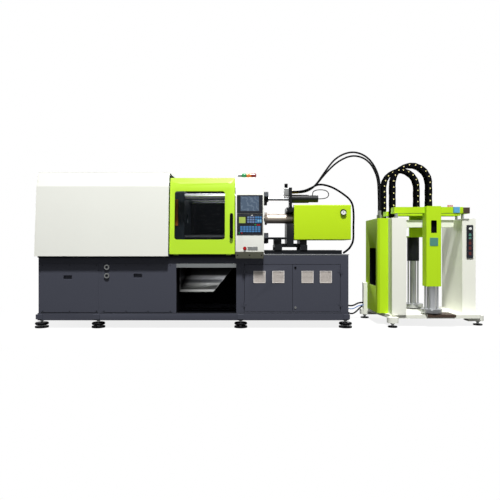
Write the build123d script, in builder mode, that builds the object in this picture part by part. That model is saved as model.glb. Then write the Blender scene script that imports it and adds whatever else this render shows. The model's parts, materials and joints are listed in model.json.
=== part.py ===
"""Horizontal injection moulding machine for liquid silicone, with its two-pump dosing unit.

All sizes are millimetres. X runs along the press from the clamp end to the dosing unit, Y runs
from the operator's side to the back, and Z runs up from the floor. The origin is on the floor
under the middle of the whole set.
"""
import os
from math import cos, pi, radians, sin, tan

from build123d import *

os.makedirs("parts", exist_ok=True)

# Clearances between pieces
fit = 0.3                   # round and flat pieces that slide past or seat in each other
pin_fit = 0.1               # hinge pins, lock shafts and needle pivot

# Bed of the press
bed_length = 3875.0
bed_width = 1100.0
bed_ground = 100.0          # floor to the underside of the sills
sill_height = 88.0
sill_width = 140.0
sill_proud = 30.0           # how far the sills stand out past the bed faces
sill_wall = 12.0
deck_top = 922.0
deck_thick = 112.0
clamp_box_length = 1723.0
bay_length = 749.0
cabinet_post = 100.0        # upright on each side of the cabinet doors
cabinet_rim = 14.0          # frame above and below the doors
cabinet_back = 100.0
drop_length = 590.0
drop_width = 380.0
drop_start = 1850.0         # from the left end of the bed
skin = 4.0                  # bolted side panels
pad_radius = 82.0
foot_inset = 22.0
foot_stations = (22.0, 735.0, 2528.0, 3846.0)
foot_reach = bed_width / 2 - 50.0              # foot rows, from the middle plane
lip_depth = 40.0            # lower gate rail along both deck edges
lip_height = 32.0
lip_drop = 10.0

# Operator column and guards
hmi_reach = bed_width / 2 + 150.0              # middle plane to the operator column's face
hmi_start = 2466.0
hmi_width = 348.0
hmi_top = 1868.0
hmi_fold = 1738.0
hmi_bottom = 954.0
platen_width = 660.0
hmi_back_reach = platen_width / 2 + 40.0        # the columns stand clear of the platens
estop_height = 37.0
guard_reach = bed_width / 2 + 100.0            # middle plane to the foot of the clamp cover
guard_fold_reach = guard_reach - 66.0
guard_top_reach = guard_fold_reach - 54.0
guard_bottom = 898.0
guard_fold = 1767.0
guard_top = 1945.0
cover_length = 1635.0
sheet = 4.0
gate_inset = 40.0           # gate face behind the cover face
gate_thick = 30.0
gate_skin = 3.0
gate_rim = 25.0
gate_lift = 12.0            # gate above its lower rail
gate_top = 1882.0
gate_gap = 10.0

# Distance between the press and the dosing unit, and the unit's reach
dosing_gap = 434.0
dosing_length = 1365.0

# Derived frame: the set is centred on X = 0 and Y = 0
overall_length = pad_radius - foot_inset + bed_length + dosing_gap + dosing_length
bed_x0 = -overall_length / 2 + pad_radius - foot_inset
bed_x1 = bed_x0 + bed_length
dos_x0 = bed_x1 + dosing_gap
mid_y = (hmi_reach + estop_height - guard_reach) / 2
front_y = mid_y - bed_width / 2
middle = Plane.XZ.offset(-mid_y)

sill_top = bed_ground + sill_height
deck_under = deck_top - deck_thick
box_height = deck_under - sill_top
bay_x0 = bed_x0 + clamp_box_length
cab_x0 = bay_x0 + bay_length
cab_length = bed_x1 - cab_x0
pocket_x0 = cab_x0 + cabinet_post
pocket_x1 = bed_x1 - cabinet_post
pocket_z0 = sill_top + cabinet_rim
pocket_z1 = deck_under - cabinet_rim
drop_x0 = bed_x0 + drop_start
hmi_x0 = bed_x0 + hmi_start
lip_top = deck_top - lip_drop

# Bed frame: sills, clamp-side box, deck with its drop opening, drive cabinet and gate lips
grip_width = 106.0
grip_height = 54.0
grip_depth = 20.0
grips = ((366.0, 632.0), (1242.0, 652.0))     # from the left end of the bed, above the floor
foot_lug_width = 80.0
foot_lug_height = 62.0
foot_lug_thick = 10.0

with BuildPart() as bed_frame:
    with BuildSketch(Plane.YZ.offset(bed_x0)):
        with Locations((mid_y - bed_width / 2 - sill_proud + sill_width / 2,
                        bed_ground + sill_height / 2)):
            Rectangle(sill_width, sill_height)
        with Locations((mid_y - bed_width / 2 - sill_proud + sill_wall + sill_width / 2,
                        bed_ground + sill_height / 2)):
            Rectangle(sill_width, sill_height - 2 * sill_wall, mode=Mode.SUBTRACT)
    extrude(amount=bed_length)
    for station in foot_stations:
        with Locations((bed_x0 + station, front_y - sill_proud - foot_lug_thick / 2,
                        bed_ground + sill_height / 2)):
            Box(foot_lug_width, foot_lug_thick, foot_lug_height)
    mirror(about=middle)
    with Locations((bed_x0 + clamp_box_length / 2, mid_y, sill_top + box_height / 2)):
        Box(clamp_box_length, bed_width, box_height)
    with BuildSketch(Plane.XY.offset(sill_top)):
        with Locations((cab_x0 + cab_length / 2, mid_y)):
            Rectangle(cab_length, bed_width)
    extrude(amount=box_height)
    with BuildSketch(Plane.XY.offset(deck_under)):
        with Locations((bed_x0 + bed_length / 2, mid_y)):
            Rectangle(bed_length, bed_width)
        with Locations((drop_x0 + drop_length / 2, mid_y)):
            Rectangle(drop_length, drop_width, mode=Mode.SUBTRACT)
    extrude(amount=deck_thick)
    with BuildSketch(Plane.XY.offset(lip_top)):
        with Locations(((bed_x0 + skin + hmi_x0) / 2, mid_y)):
            Rectangle(hmi_start - 2 * skin, bed_width + 2 * lip_depth)
            Rectangle(hmi_start, bed_width, mode=Mode.SUBTRACT)
    extrude(amount=-lip_height)
    # Rear sheet of the parts bay
    with Locations(((bay_x0 + cab_x0) / 2, front_y + bed_width - skin / 2,
                    (sill_top + deck_under) / 2)):
        Box(cab_x0 - bay_x0, skin, box_height)
    # The cabinet pocket opens to the front
    with BuildSketch(Plane.XZ.offset(-front_y)):
        with Locations(((pocket_x0 + pocket_x1) / 2, (pocket_z0 + pocket_z1) / 2)):
            Rectangle(pocket_x1 - pocket_x0, pocket_z1 - pocket_z0)
    extrude(amount=-(bed_width - cabinet_back), mode=Mode.SUBTRACT)
    # Pockets behind the grips of the side panels
    with BuildSketch(Plane.XZ.offset(-front_y)):
        for grip_x, grip_z in grips:
            with Locations((bed_x0 + grip_x, grip_z)):
                Rectangle(grip_width, grip_height)
    extrude(amount=-grip_depth, mode=Mode.SUBTRACT)

# Side panels of the clamp-side box, its water ports and the frame halves of the door hinges
panel_spans = ((34.0, 748.0), (798.0, 1669.0))
panel_margin = 8.0
port_radius = 32.0
port_bore = 19.0
port_proud = 22.0
port_station = 859.0
port_heights = (761.0, 655.0)
hinge_heights = (299.0, 707.0)
knuckle_radius = 8.0
knuckle_length = 20.0
hinge_pin_radius = 4.0
hinge_leaf = 3.0
hinge_leaf_reach = 34.0
hinge_out = 10.0            # hinge pin in front of the door face
hinge_y = front_y - hinge_out


def hinge_leaf_box(x_pin, side):
    """Flat hinge leaf on the face, from the pin sideways."""
    with Locations((x_pin + side * hinge_leaf_reach / 2, front_y - hinge_leaf / 2)):
        Rectangle(hinge_leaf_reach, hinge_leaf)
    with Locations((x_pin, hinge_y)):
        Circle(knuckle_radius)


with BuildPart() as bed_panels:
    with BuildSketch(Plane.XZ.offset(-front_y)):
        for left, right in panel_spans:
            with Locations((bed_x0 + (left + right) / 2, sill_top + box_height / 2)):
                RectangleRounded(right - left, box_height - 2 * panel_margin, 6)
        for grip_x, grip_z in grips:
            with Locations((bed_x0 + grip_x, grip_z)):
                RectangleRounded(grip_width, grip_height, 8, mode=Mode.SUBTRACT)
    extrude(amount=skin)
    with BuildSketch(Plane.XZ.offset(-(front_y + bed_width))):
        for left, right in panel_spans:
            with Locations((bed_x0 + (left + right) / 2, sill_top + box_height / 2)):
                RectangleRounded(right - left, box_height - 2 * panel_margin, 6)
    extrude(amount=-skin)
    with BuildSketch(Plane.XZ.offset(-(front_y - skin))):
        for height in port_heights:
            with Locations((bed_x0 + port_station, height)):
                Circle(port_radius)
                Circle(port_bore, mode=Mode.SUBTRACT)
    extrude(amount=port_proud)
    for x_pin, side in ((pocket_x0, -1), (pocket_x1, 1)):
        for height in hinge_heights:
            for step in (-1, 1):
                base = height + step * (knuckle_length + 0.5) - knuckle_length / 2
                with BuildSketch(Plane.XY.offset(base)):
                    hinge_leaf_box(x_pin, side)
                extrude(amount=knuckle_length)
            with Locations((x_pin, hinge_y, height)):
                Cylinder(hinge_pin_radius, 3 * knuckle_length)
            with Locations((x_pin + side * (hinge_leaf_reach + knuckle_radius) / 2 + side * 1,
                            front_y - hinge_leaf / 2, height)):
                Box(hinge_leaf_reach - knuckle_radius, hinge_leaf, knuckle_length + 2)

# Levelling feet of the press and of the dosing unit
pad_height = 20.0
stud_radius = 15.0
lock_nut = 27.0
dos_ground = 104.0          # floor to the underside of the dosing unit's chassis
dos_pad_radius = 57.0
dos_pad_height = 16.0
dos_stud_radius = 16.0
ear_radius = 70.0
ear_bottom = 58.0
ear_thick = 70.0
# Feet of the dosing unit, from its left face and from the front plane
dos_feet = ((134.0, 55.0), (dosing_length - ear_radius, 240.0), (-21.0, 885.0),
            (dosing_length - ear_radius, 885.0))


def foot(x, y, radius, pad, stud, top):
    """Levelling foot: round pad, threaded stud and lock nut, standing on the floor."""
    with BuildSketch(Plane.XY) as profile:
        with Locations((x, y)):
            Circle(radius)
    extrude(profile.sketch, amount=pad)
    with BuildSketch(Plane.XY.offset(pad)) as profile:
        with Locations((x, y)):
            Circle(stud)
    extrude(profile.sketch, amount=top - pad)
    with BuildSketch(Plane.XY.offset(top - stud)) as profile:
        with Locations((x, y)):
            RegularPolygon(1.8 * stud, 6)
    extrude(profile.sketch, amount=stud)


with BuildPart() as levelling_feet:
    for station in foot_stations:
        for row in (-1, 1):
            foot(bed_x0 + station, mid_y + row * foot_reach,
                 pad_radius, pad_height, stud_radius, bed_ground)
    for foot_u, foot_d in dos_feet:
        foot(dos_x0 + foot_u, front_y + foot_d,
             dos_pad_radius, dos_pad_height, dos_stud_radius, ear_bottom)

# Stainless chute under the drop opening, open at the top and to the front, and the bay's lip
chute_wall = 3.0
chute_left = 1758.0         # from the left end of the bed
chute_right = 2436.0
chute_throat = 2180.0       # right edge at the mouth
chute_bottom = 446.0
chute_bend = 757.0
chute_front = 60.0          # behind the front plane
chute_depth = 800.0
chute_floor_rise = 300.0
lip_bow = 16.0
bay_lip_height = 49.0
bay_lip_top = 804.0

with BuildPart() as drop_chute:
    with BuildSketch(Plane.XZ.offset(-(front_y + chute_front))):
        with BuildLine():
            Polyline((bed_x0 + chute_left, chute_bottom), (bed_x0 + chute_throat, chute_bottom),
                     (bed_x0 + chute_right, chute_bend), (bed_x0 + chute_right, deck_under),
                     (bed_x0 + chute_left, deck_under), close=True)
        make_face()
    extrude(amount=-chute_depth)
    with BuildSketch(Plane.YZ.offset(bed_x0 + chute_left)):
        with BuildLine():
            Polyline((front_y + chute_front, chute_bottom),
                     (front_y + chute_front + chute_depth, chute_bottom),
                     (front_y + chute_front + chute_depth, chute_bottom + chute_floor_rise),
                     close=True)
        make_face()
    extrude(amount=chute_right - chute_left, mode=Mode.SUBTRACT)
    offset(amount=-chute_wall, openings=[drop_chute.faces().sort_by(Axis.Z)[-1],
                                         drop_chute.faces().sort_by(Axis.Y)[0]])
    with BuildSketch(Plane.XY.offset(bay_lip_top - bay_lip_height)):
        with BuildLine():
            ThreePointArc((bay_x0, front_y), (bay_x0 + bay_length / 2, front_y - lip_bow),
                          (cab_x0, front_y))
            Line((cab_x0, front_y), (cab_x0, front_y + chute_wall))
            ThreePointArc((cab_x0, front_y + chute_wall),
                          (bay_x0 + bay_length / 2, front_y - lip_bow + chute_wall),
                          (bay_x0, front_y + chute_wall))
            Line((bay_x0, front_y + chute_wall), (bay_x0, front_y))
        make_face()
    extrude(amount=bay_lip_height)

# Cabinet doors, each a pan with two filter vents, hung on pins in front of the frame
door_gap = 4.0
door_thick = 25.0
door_split = 3176.0         # from the left end of the bed
vent_size = 150.0
vent_frame = 7.0
vent_proud = 4.0
vent_height = 638.0
vent_slats = 9
vent_slat = 3.0
left_vents = (2763.0, 2997.0)
right_vents = (3363.0, 3592.0)
lock_station = 3211.0
lock_heights = (754.0, 255.0)
lock_radius = 14.0
lock_proud = 6.0
lock_shaft = 6.0
cam_length = 45.0
cam_width = 14.0
cam_thick = 4.0


def door(x0, x1, vents, x_pin, side):
    """Door pan between x0 and x1 with louvred vents, and its hinge knuckles at x_pin."""
    height = pocket_z1 - pocket_z0 - 2 * door_gap
    with BuildSketch(Plane.XZ.offset(-front_y)) as profile:
        with Locations(((x0 + x1) / 2, (pocket_z0 + pocket_z1) / 2)):
            RectangleRounded(x1 - x0, height, 4)
        with Locations(*[(bed_x0 + vent, vent_height) for vent in vents]):
            Rectangle(vent_size - 2 * vent_frame, vent_size - 2 * vent_frame, mode=Mode.SUBTRACT)
    extrude(profile.sketch, amount=-door_thick)
    with BuildSketch(Plane.XZ.offset(-front_y)) as profile:
        with Locations(*[(bed_x0 + vent, vent_height) for vent in vents]):
            Rectangle(vent_size, vent_size)
            Rectangle(vent_size - 2 * vent_frame, vent_size - 2 * vent_frame, mode=Mode.SUBTRACT)
    extrude(profile.sketch, amount=vent_proud)
    pitch = (vent_size - 2 * vent_frame) / vent_slats
    with BuildSketch(Plane.XZ.offset(-front_y)) as profile:
        with Locations(*[(bed_x0 + vent, vent_height) for vent in vents]):
            with GridLocations(1, pitch, 1, vent_slats):
                Rectangle(vent_size - 2 * vent_frame, pitch - vent_slat)
    extrude(profile.sketch, amount=-door_thick / 2)
    for knuckle_z in hinge_heights:
        with BuildSketch(Plane.XY.offset(knuckle_z - knuckle_length / 2)) as profile:
            hinge_leaf_box(x_pin, side)
            with Locations((x_pin, hinge_y)):
                Circle(hinge_pin_radius + pin_fit, mode=Mode.SUBTRACT)
        extrude(profile.sketch, amount=knuckle_length)


with BuildPart() as door_left:
    door(pocket_x0 + door_gap, bed_x0 + door_split - door_gap / 2, left_vents, pocket_x0, 1)

with BuildPart() as door_right:
    door(bed_x0 + door_split + door_gap / 2, pocket_x1 - door_gap, right_vents, pocket_x1, -1)
    with BuildSketch(Plane.XZ.offset(-front_y)):
        with Locations(*[(bed_x0 + lock_station, height) for height in lock_heights]):
            Circle(lock_shaft + pin_fit)
    extrude(amount=-door_thick, mode=Mode.SUBTRACT)


def quarter_turn(height):
    """Quarter-turn lock: slotted head, shaft through the door and a cam behind it."""
    with BuildSketch(Plane.XZ.offset(-(front_y - fit))) as profile:
        with Locations((bed_x0 + lock_station, height)):
            Circle(lock_radius)
    extrude(profile.sketch, amount=lock_proud)
    with BuildSketch(Plane.XZ.offset(-(front_y - fit - lock_proud))) as profile:
        with Locations((bed_x0 + lock_station, height)):
            Rectangle(3, 1.3 * lock_radius)
    extrude(profile.sketch, amount=-lock_proud / 3, mode=Mode.SUBTRACT)
    with BuildSketch(Plane.XZ.offset(-(front_y - fit))) as profile:
        with Locations((bed_x0 + lock_station, height)):
            Circle(lock_shaft)
    extrude(profile.sketch, amount=-(door_thick + 2 * fit + cam_thick))
    with BuildSketch(Plane.XZ.offset(-(front_y + door_thick + fit))) as profile:
        with Locations((bed_x0 + lock_station, height + cam_length / 2 - cam_width / 2)):
            SlotOverall(cam_length, cam_width, rotation=90)
    extrude(profile.sketch, amount=-cam_thick)


with BuildPart() as lock_upper:
    quarter_turn(lock_heights[0])

with BuildPart() as lock_lower:
    quarter_turn(lock_heights[1])

# Sheet covers of the clamp end. Their faces lean back, and lean further above a fold.
fold_slope = (guard_reach - guard_fold_reach) / (guard_fold - guard_bottom)
top_slope = (guard_fold_reach - guard_top_reach) / (guard_top - guard_fold)
cover_x1 = bed_x0 + cover_length
cover_flange = 34.0
hood_thick = 11.0
hood_sheet = 4.0
edge_return = 25.0
vent_slot_length = 260.0
vent_slot_width = 14.0


def face_y(height):
    """Y of the front cover's outer face at a height."""
    if height <= guard_fold:
        return mid_y - guard_reach + (height - guard_bottom) * fold_slope
    return mid_y - guard_fold_reach + (height - guard_fold) * top_slope


def guard_band(inset, thick, z0, z1):
    """Outline of a folded sheet parallel to the cover face: inset from it, thick in Y."""
    front = [(face_y(z) + inset, z) for z in (z0, guard_fold, z1)]
    back = [(face_y(z) + inset + thick, z) for z in (z1, guard_fold, z0)]
    return front + back


with BuildPart() as cover_front:
    with BuildSketch(Plane.YZ.offset(bed_x0)):
        with BuildLine():
            Polyline(*guard_band(0, sheet, guard_bottom, guard_top), close=True)
        make_face()
        with Locations((mid_y - guard_top_reach + cover_flange / 2, guard_top - sheet / 2)):
            Rectangle(cover_flange, sheet)
        with Locations(((face_y(guard_bottom) + front_y - lip_depth) / 2 + 1,
                        guard_bottom + sheet / 2)):
            Rectangle(front_y - lip_depth - face_y(guard_bottom) - 2, sheet)
    extrude(amount=cover_length)
    with BuildSketch(Plane.YZ.offset(cover_x1 - sheet)):
        with BuildLine():
            Polyline(*guard_band(0, edge_return, guard_bottom, guard_top), close=True)
        make_face()
    extrude(amount=sheet)

with BuildPart() as cover_rear:
    mirror(cover_front.part, about=middle)

with BuildPart() as cover_hood:
    with BuildSketch(Plane.YZ.offset(bed_x0)):
        with BuildLine():
            Polyline(*[(face_y(z), z) for z in (guard_bottom, guard_fold, guard_top)],
                     *[(2 * mid_y - face_y(z), z) for z in (guard_top, guard_fold, guard_bottom)],
                     close=True)
        make_face()
    extrude(amount=-hood_thick)
    with BuildSketch(Plane.XY.offset(guard_top)):
        with Locations(((bed_x0 + 1 + cover_x1) / 2, mid_y)):
            Rectangle(cover_length - 1, 2 * guard_top_reach)
        with Locations((bed_x0 + cover_length / 2, mid_y)):
            with GridLocations(cover_length / 2, 60, 2, 8):
                SlotOverall(vent_slot_length, vent_slot_width, mode=Mode.SUBTRACT)
    extrude(amount=hood_sheet)

# Sliding guard gates with their windows, and the handle of the operator's gate
gate_x0 = bed_x0 + cover_length + gate_gap
gate_x1 = hmi_x0 - gate_gap + 1
gate_width = gate_x1 - gate_x0
gate_bottom = lip_top + gate_lift
window_x0 = bed_x0 + 1705.0
window_x1 = bed_x0 + 2331.0
window_z0 = 1104.0
window_z1 = 1709.0
window_corner = 33.0
window_lap = 20.0
pane = 8.0
shoe_length = 60.0
shoe_inset = 80.0
rail_x1 = hmi_x0
rail_thick = 20.0
rail_height = 30.0
rail_z = 1800.0
rail_y = face_y(rail_z) + gate_inset + gate_thick + 20.0   # front face of the upper gate rail
handle_x = bed_x0 + 2414.0
handle_z = 1273.0
handle_length = 314.0
handle_width = 40.0
handle_off = 18.0
handle_thick = 22.0

with BuildPart() as gate_front:
    with BuildSketch(Plane.YZ.offset(gate_x0)):
        with BuildLine():
            Polyline(*guard_band(gate_inset, gate_thick, gate_bottom, gate_top), close=True)
        make_face()
    extrude(amount=gate_width)
    with BuildSketch(Plane.YZ.offset(gate_x0 + gate_rim)):
        with BuildLine():
            Polyline(*guard_band(gate_inset + gate_skin, gate_thick,
                                 gate_bottom + gate_rim, gate_top - gate_rim), close=True)
        make_face()
    extrude(amount=gate_width - 2 * gate_rim, mode=Mode.SUBTRACT)
    with BuildSketch(Plane.XZ.offset(-face_y(gate_bottom))):
        with Locations(((window_x0 + window_x1) / 2, (window_z0 + window_z1) / 2)):
            RectangleRounded(window_x1 - window_x0, window_z1 - window_z0, window_corner)
    extrude(amount=-4 * gate_inset, mode=Mode.SUBTRACT)
    # Shoes over the lower rail and guide blocks at the upper one
    for station in (gate_x0 + shoe_inset, gate_x1 - shoe_inset):
        shoe_y0 = face_y(gate_bottom) + gate_inset + gate_rim / 2
        shoe_y1 = front_y - lip_depth / 4
        with Locations((station, (shoe_y0 + shoe_y1) / 2, (lip_top + fit + gate_bottom + 8) / 2)):
            Box(shoe_length, shoe_y1 - shoe_y0, gate_bottom + 8 - lip_top - fit)
        block_y0 = face_y(rail_z) + gate_inset + gate_skin / 2
        with Locations((station, (block_y0 + rail_y - fit) / 2, rail_z)):
            Box(shoe_length, rail_y - fit - block_y0, rail_height)

with BuildPart() as gate_front_window:
    with BuildSketch(Plane.YZ.offset(window_x0 - window_lap)):
        with BuildLine():
            Polyline(*[(face_y(z) + gate_inset + gate_skin, z)
                       for z in (window_z0 - window_lap, window_z1 + window_lap)],
                     *[(face_y(z) + gate_inset + gate_skin + pane, z)
                       for z in (window_z1 + window_lap, window_z0 - window_lap)], close=True)
        make_face()
    extrude(amount=window_x1 - window_x0 + 2 * window_lap)

gate_face = Plane(origin=(handle_x, face_y(handle_z) + gate_inset, handle_z),
                  x_dir=(1, 0, 0), z_dir=(0, -1, fold_slope))
with BuildPart() as gate_front_handle:
    with BuildSketch(gate_face):
        with GridLocations(0, handle_length - handle_width, 1, 2):
            Circle(handle_width / 3)
    extrude(amount=handle_off + handle_thick / 2)
    with BuildSketch(gate_face.offset(handle_off)):
        SlotOverall(handle_length, handle_width, rotation=90)
    extrude(amount=handle_thick)
    fillet(gate_front_handle.faces().sort_by(Axis.Y)[0].edges(), radius=handle_thick / 4)

with BuildPart() as gate_rear:
    mirror(gate_front.part, about=middle)

with BuildPart() as gate_rear_window:
    mirror(gate_front_window.part, about=middle)

# Operator column, with the plain column behind it
stem_radius = 11.0
stem_depth = 20.0
estop_x = bed_x0 + 2581.0
estop_z = 995.0
button_radius = 8.0
button_z = 1182.0
button_xs = (bed_x0 + 2512.0, bed_x0 + 2544.0)
button_depth = 14.0
column_bottom = 870.0
column_inset = 66.0         # how far the face leans back above the fold
hmi_face = mid_y - hmi_reach

with BuildPart() as guard_columns:
    with BuildSketch(Plane.YZ.offset(hmi_x0)):
        with BuildLine():
            Polyline((hmi_face, hmi_bottom), (hmi_face, hmi_fold),
                     (hmi_face + column_inset, hmi_top), (mid_y - hmi_back_reach, hmi_top),
                     (mid_y - hmi_back_reach, deck_top), (front_y, deck_top),
                     (front_y, column_bottom), close=True)
        make_face()
        with BuildLine():
            Polyline((mid_y + hmi_back_reach, deck_top), (mid_y + hmi_back_reach, hmi_top),
                     (mid_y + bed_width / 2 - column_inset, hmi_top),
                     (mid_y + bed_width / 2, hmi_fold), (mid_y + bed_width / 2, deck_top),
                     close=True)
        make_face()
    extrude(amount=hmi_width)
    fillet(guard_columns.edges().filter_by(Axis.Z), radius=6)
    with BuildSketch(Plane.XZ.offset(-hmi_face)):
        with Locations((estop_x, estop_z)):
            Circle(stem_radius + fit)
    extrude(amount=-stem_depth, mode=Mode.SUBTRACT)
    with BuildSketch(Plane.XZ.offset(-hmi_face)):
        with Locations(*[(x, button_z) for x in button_xs]):
            Circle(button_radius + fit)
    extrude(amount=-button_depth, mode=Mode.SUBTRACT)

# Screen bezel, keypad and the bare plate beside the emergency stop
panel_x0 = bed_x0 + 2485.0
panel_x1 = bed_x0 + 2800.0
bezel_z0 = 1424.0
bezel_z1 = 1645.0
bezel_thick = 8.0
screen_x0 = bed_x0 + 2529.0
screen_x1 = bed_x0 + 2754.0
screen_z0 = 1450.0
screen_z1 = 1630.0
screen_thick = 4.0
keypad_z0 = 1160.0
keypad_z1 = 1415.0
keypad_thick = 5.0
key_width = 22.0
key_height = 17.0
key_proud = 2.0
key_pitch_x = 30.0
key_pitch_z = 25.0
key_rows = 7
key_columns = 10
plate_x0 = bed_x0 + 2614.0
plate_x1 = bed_x0 + 2737.0
plate_height = 42.0
plate_thick = 3.0
collar_radius = 22.0
collar_height = 4.0
panel_mid = (panel_x0 + panel_x1) / 2

with BuildPart() as hmi_panels:
    with BuildSketch(Plane.XZ.offset(-hmi_face)):
        with Locations((panel_mid, (bezel_z0 + bezel_z1) / 2)):
            RectangleRounded(panel_x1 - panel_x0, bezel_z1 - bezel_z0, 8)
    extrude(amount=bezel_thick)
    with BuildSketch(Plane.XZ.offset(-(hmi_face - bezel_thick))):
        with Locations(((screen_x0 + screen_x1) / 2, (screen_z0 + screen_z1) / 2)):
            Rectangle(screen_x1 - screen_x0, screen_z1 - screen_z0)
    extrude(amount=-screen_thick - 1, mode=Mode.SUBTRACT)
    with BuildSketch(Plane.XZ.offset(-hmi_face)):
        with Locations((panel_mid, (keypad_z0 + keypad_z1) / 2)):
            RectangleRounded(panel_x1 - panel_x0, keypad_z1 - keypad_z0, 8)
        with Locations(*[(x, button_z) for x in button_xs]):
            Circle(button_radius + fit, mode=Mode.SUBTRACT)
    extrude(amount=keypad_thick)
    with BuildSketch(Plane.XZ.offset(-(hmi_face - keypad_thick))):
        with Locations((panel_mid, (keypad_z0 + keypad_z1) / 2 + key_pitch_z)):
            with GridLocations(key_pitch_x, key_pitch_z, key_columns, key_rows):
                Rectangle(key_width, key_height)
    extrude(amount=key_proud)
    with BuildSketch(Plane.XZ.offset(-hmi_face)):
        with Locations(((plate_x0 + plate_x1) / 2, estop_z)):
            RectangleRounded(plate_x1 - plate_x0, plate_height, 4)
    extrude(amount=plate_thick)
    with BuildSketch(Plane.XZ.offset(-hmi_face)):
        with Locations((estop_x, estop_z)):
            Circle(collar_radius)
            Circle(stem_radius + fit, mode=Mode.SUBTRACT)
    extrude(amount=collar_height)

with BuildPart() as screen:
    with BuildSketch(Plane.XZ.offset(-(hmi_face - bezel_thick + screen_thick))):
        with Locations(((screen_x0 + screen_x1) / 2, (screen_z0 + screen_z1) / 2)):
            Rectangle(screen_x1 - screen_x0 - 2 * fit, screen_z1 - screen_z0 - 2 * fit)
    extrude(amount=screen_thick - 1)

# Emergency stop: mushroom head on a stem, standing off its collar by its travel
estop_travel = 6.0
estop_head = 20.0
estop_head_thick = 12.0

with BuildPart() as e_stop:
    with BuildSketch(Plane.XZ.offset(-(hmi_face + stem_depth / 2))):
        with Locations((estop_x, estop_z)):
            Circle(stem_radius)
    extrude(amount=stem_depth / 2 + estop_height - estop_head_thick)
    with BuildSketch(Plane.XZ.offset(-(hmi_face - estop_height + estop_head_thick))):
        with Locations((estop_x, estop_z)):
            Circle(estop_head)
    extrude(amount=estop_head_thick)
    fillet(e_stop.faces().sort_by(Axis.Y)[0].edges(), radius=estop_head_thick / 3)


def push_button(x, z, face, radius, proud, depth):
    """Flat push button in its bore, standing proud of a face that looks to the front."""
    with BuildSketch(Plane.XZ.offset(-(face + depth))) as profile:
        with Locations((x, z)):
            Circle(radius)
    extrude(profile.sketch, amount=depth + proud)


button_travel = 3.0
button_proud = 5.0
with BuildPart() as button_start:
    push_button(button_xs[0], button_z, hmi_face - keypad_thick, button_radius, button_proud,
                keypad_thick + button_depth - 2 * button_travel)

with BuildPart() as button_stop:
    push_button(button_xs[1], button_z, hmi_face - keypad_thick, button_radius, button_proud,
                keypad_thick + button_depth - 2 * button_travel)

# Signal light lying on the column: silver base and three lenses with grooves between them
light_radius = 27.0
light_start = 2495.0
light_base = 46.0
light_lens = 60.0
light_groove = 3.0
light_foot = 4.0
light_z = hmi_top + light_foot + light_radius
light_y = hmi_face + 110.0

with BuildPart() as signal_light:
    with BuildSketch(Plane.YZ.offset(bed_x0 + light_start)):
        with Locations((light_y, light_z)):
            Circle(light_radius)
    extrude(amount=light_base)
    for lens in range(3):
        lens_x = bed_x0 + light_start + light_base + lens * light_lens
        with BuildSketch(Plane.YZ.offset(lens_x)):
            with Locations((light_y, light_z)):
                Circle(light_radius - light_groove)
        extrude(amount=light_groove)
        with BuildSketch(Plane.YZ.offset(lens_x + light_groove)):
            with Locations((light_y, light_z)):
                Circle(light_radius)
        extrude(amount=light_lens - light_groove)
    with Locations((bed_x0 + light_start + light_base / 2, light_y,
                    hmi_top + (light_foot + light_radius) / 2)):
        Box(light_base, light_radius, light_foot + light_radius)

# Clamp: platens on the press axis, tie bars with nuts, cylinder, ram and ejector
axis_z = 1400.0
platen_height = 700.0
platen_corner = 40.0
bar_radius = 45.0
bar_pitch_y = 500.0
bar_pitch_z = 540.0
bar_clearance = 5.0         # moving platen runs clear of the tie bars
nut_radius = 68.0
nut_length = 60.0
foot_width = 110.0
end_x0 = bed_x0 + 260.0
end_thick = 160.0
moving_x0 = bed_x0 + 1633.0
moving_thick = 160.0
fixed_x0 = bed_x0 + 2624.0
fixed_thick = 200.0
fixed_x1 = fixed_x0 + fixed_thick
locating_radius = 62.5
locating_depth = 25.0
moving_locating_depth = 15.0
nozzle_hole = 55.0
cone_radius = 130.0
cone_depth = 120.0
bolt_pitch = 280.0
bolt_radius = 10.0
bolt_depth = 45.0
ejector_radius = 20.0
ejector_stroke = 100.0
ejector_hole = 150.0
ejector_inset = 20.0
cylinder_radius = 210.0
cylinder_flange = 230.0
cylinder_flange_length = 50.0
cylinder_x1 = bed_x0 + 1480.0
ram_radius = 100.0
ram_flange_radius = 150.0
ram_flange = 30.0
platen_stroke = 450.0
ram_engaged = 50.0          # ram left in its bore at full stroke
clamp_rail_y = 250.0
clamp_rail_width = 40.0
clamp_rail_height = 28.0
skate_width = 70.0
skate_reach = 70.0          # skates beyond the platen faces
duct_x0 = bed_x0 + 1679.0
duct_width = 33.0
duct_thick = 18.0
duct_z0 = 1288.0
duct_z1 = 1629.0


def platen_outline(hole):
    """Platen face with its four tie-bar holes, about the press axis."""
    with Locations((mid_y, axis_z)):
        RectangleRounded(platen_width, platen_height, platen_corner)
        with GridLocations(bar_pitch_y, bar_pitch_z, 2, 2):
            Circle(hole, mode=Mode.SUBTRACT)


def platen_feet(x0, length, bottom):
    """Two cast feet that carry a platen."""
    for side in (-1, 1):
        top = axis_z - (platen_height - platen_corner) / 2
        with Locations((x0 + length / 2, mid_y + side * (platen_width - foot_width) / 2,
                        (top + bottom) / 2)):
            Box(length, foot_width, top - bottom)


def axis_bore(x0, depth, radius):
    """Round bore on the press axis from x0 along X."""
    with BuildSketch(Plane.YZ.offset(x0)) as profile:
        with Locations((mid_y, axis_z)):
            Circle(radius)
    extrude(profile.sketch, amount=depth, mode=Mode.SUBTRACT)


def mould_bolts(x0, depth):
    """Four tapped holes for the mould around the press axis."""
    with BuildSketch(Plane.YZ.offset(x0)) as profile:
        with Locations((mid_y, axis_z)):
            with GridLocations(bolt_pitch, bolt_pitch, 2, 2):
                Circle(bolt_radius)
    extrude(profile.sketch, amount=depth, mode=Mode.SUBTRACT)


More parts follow.
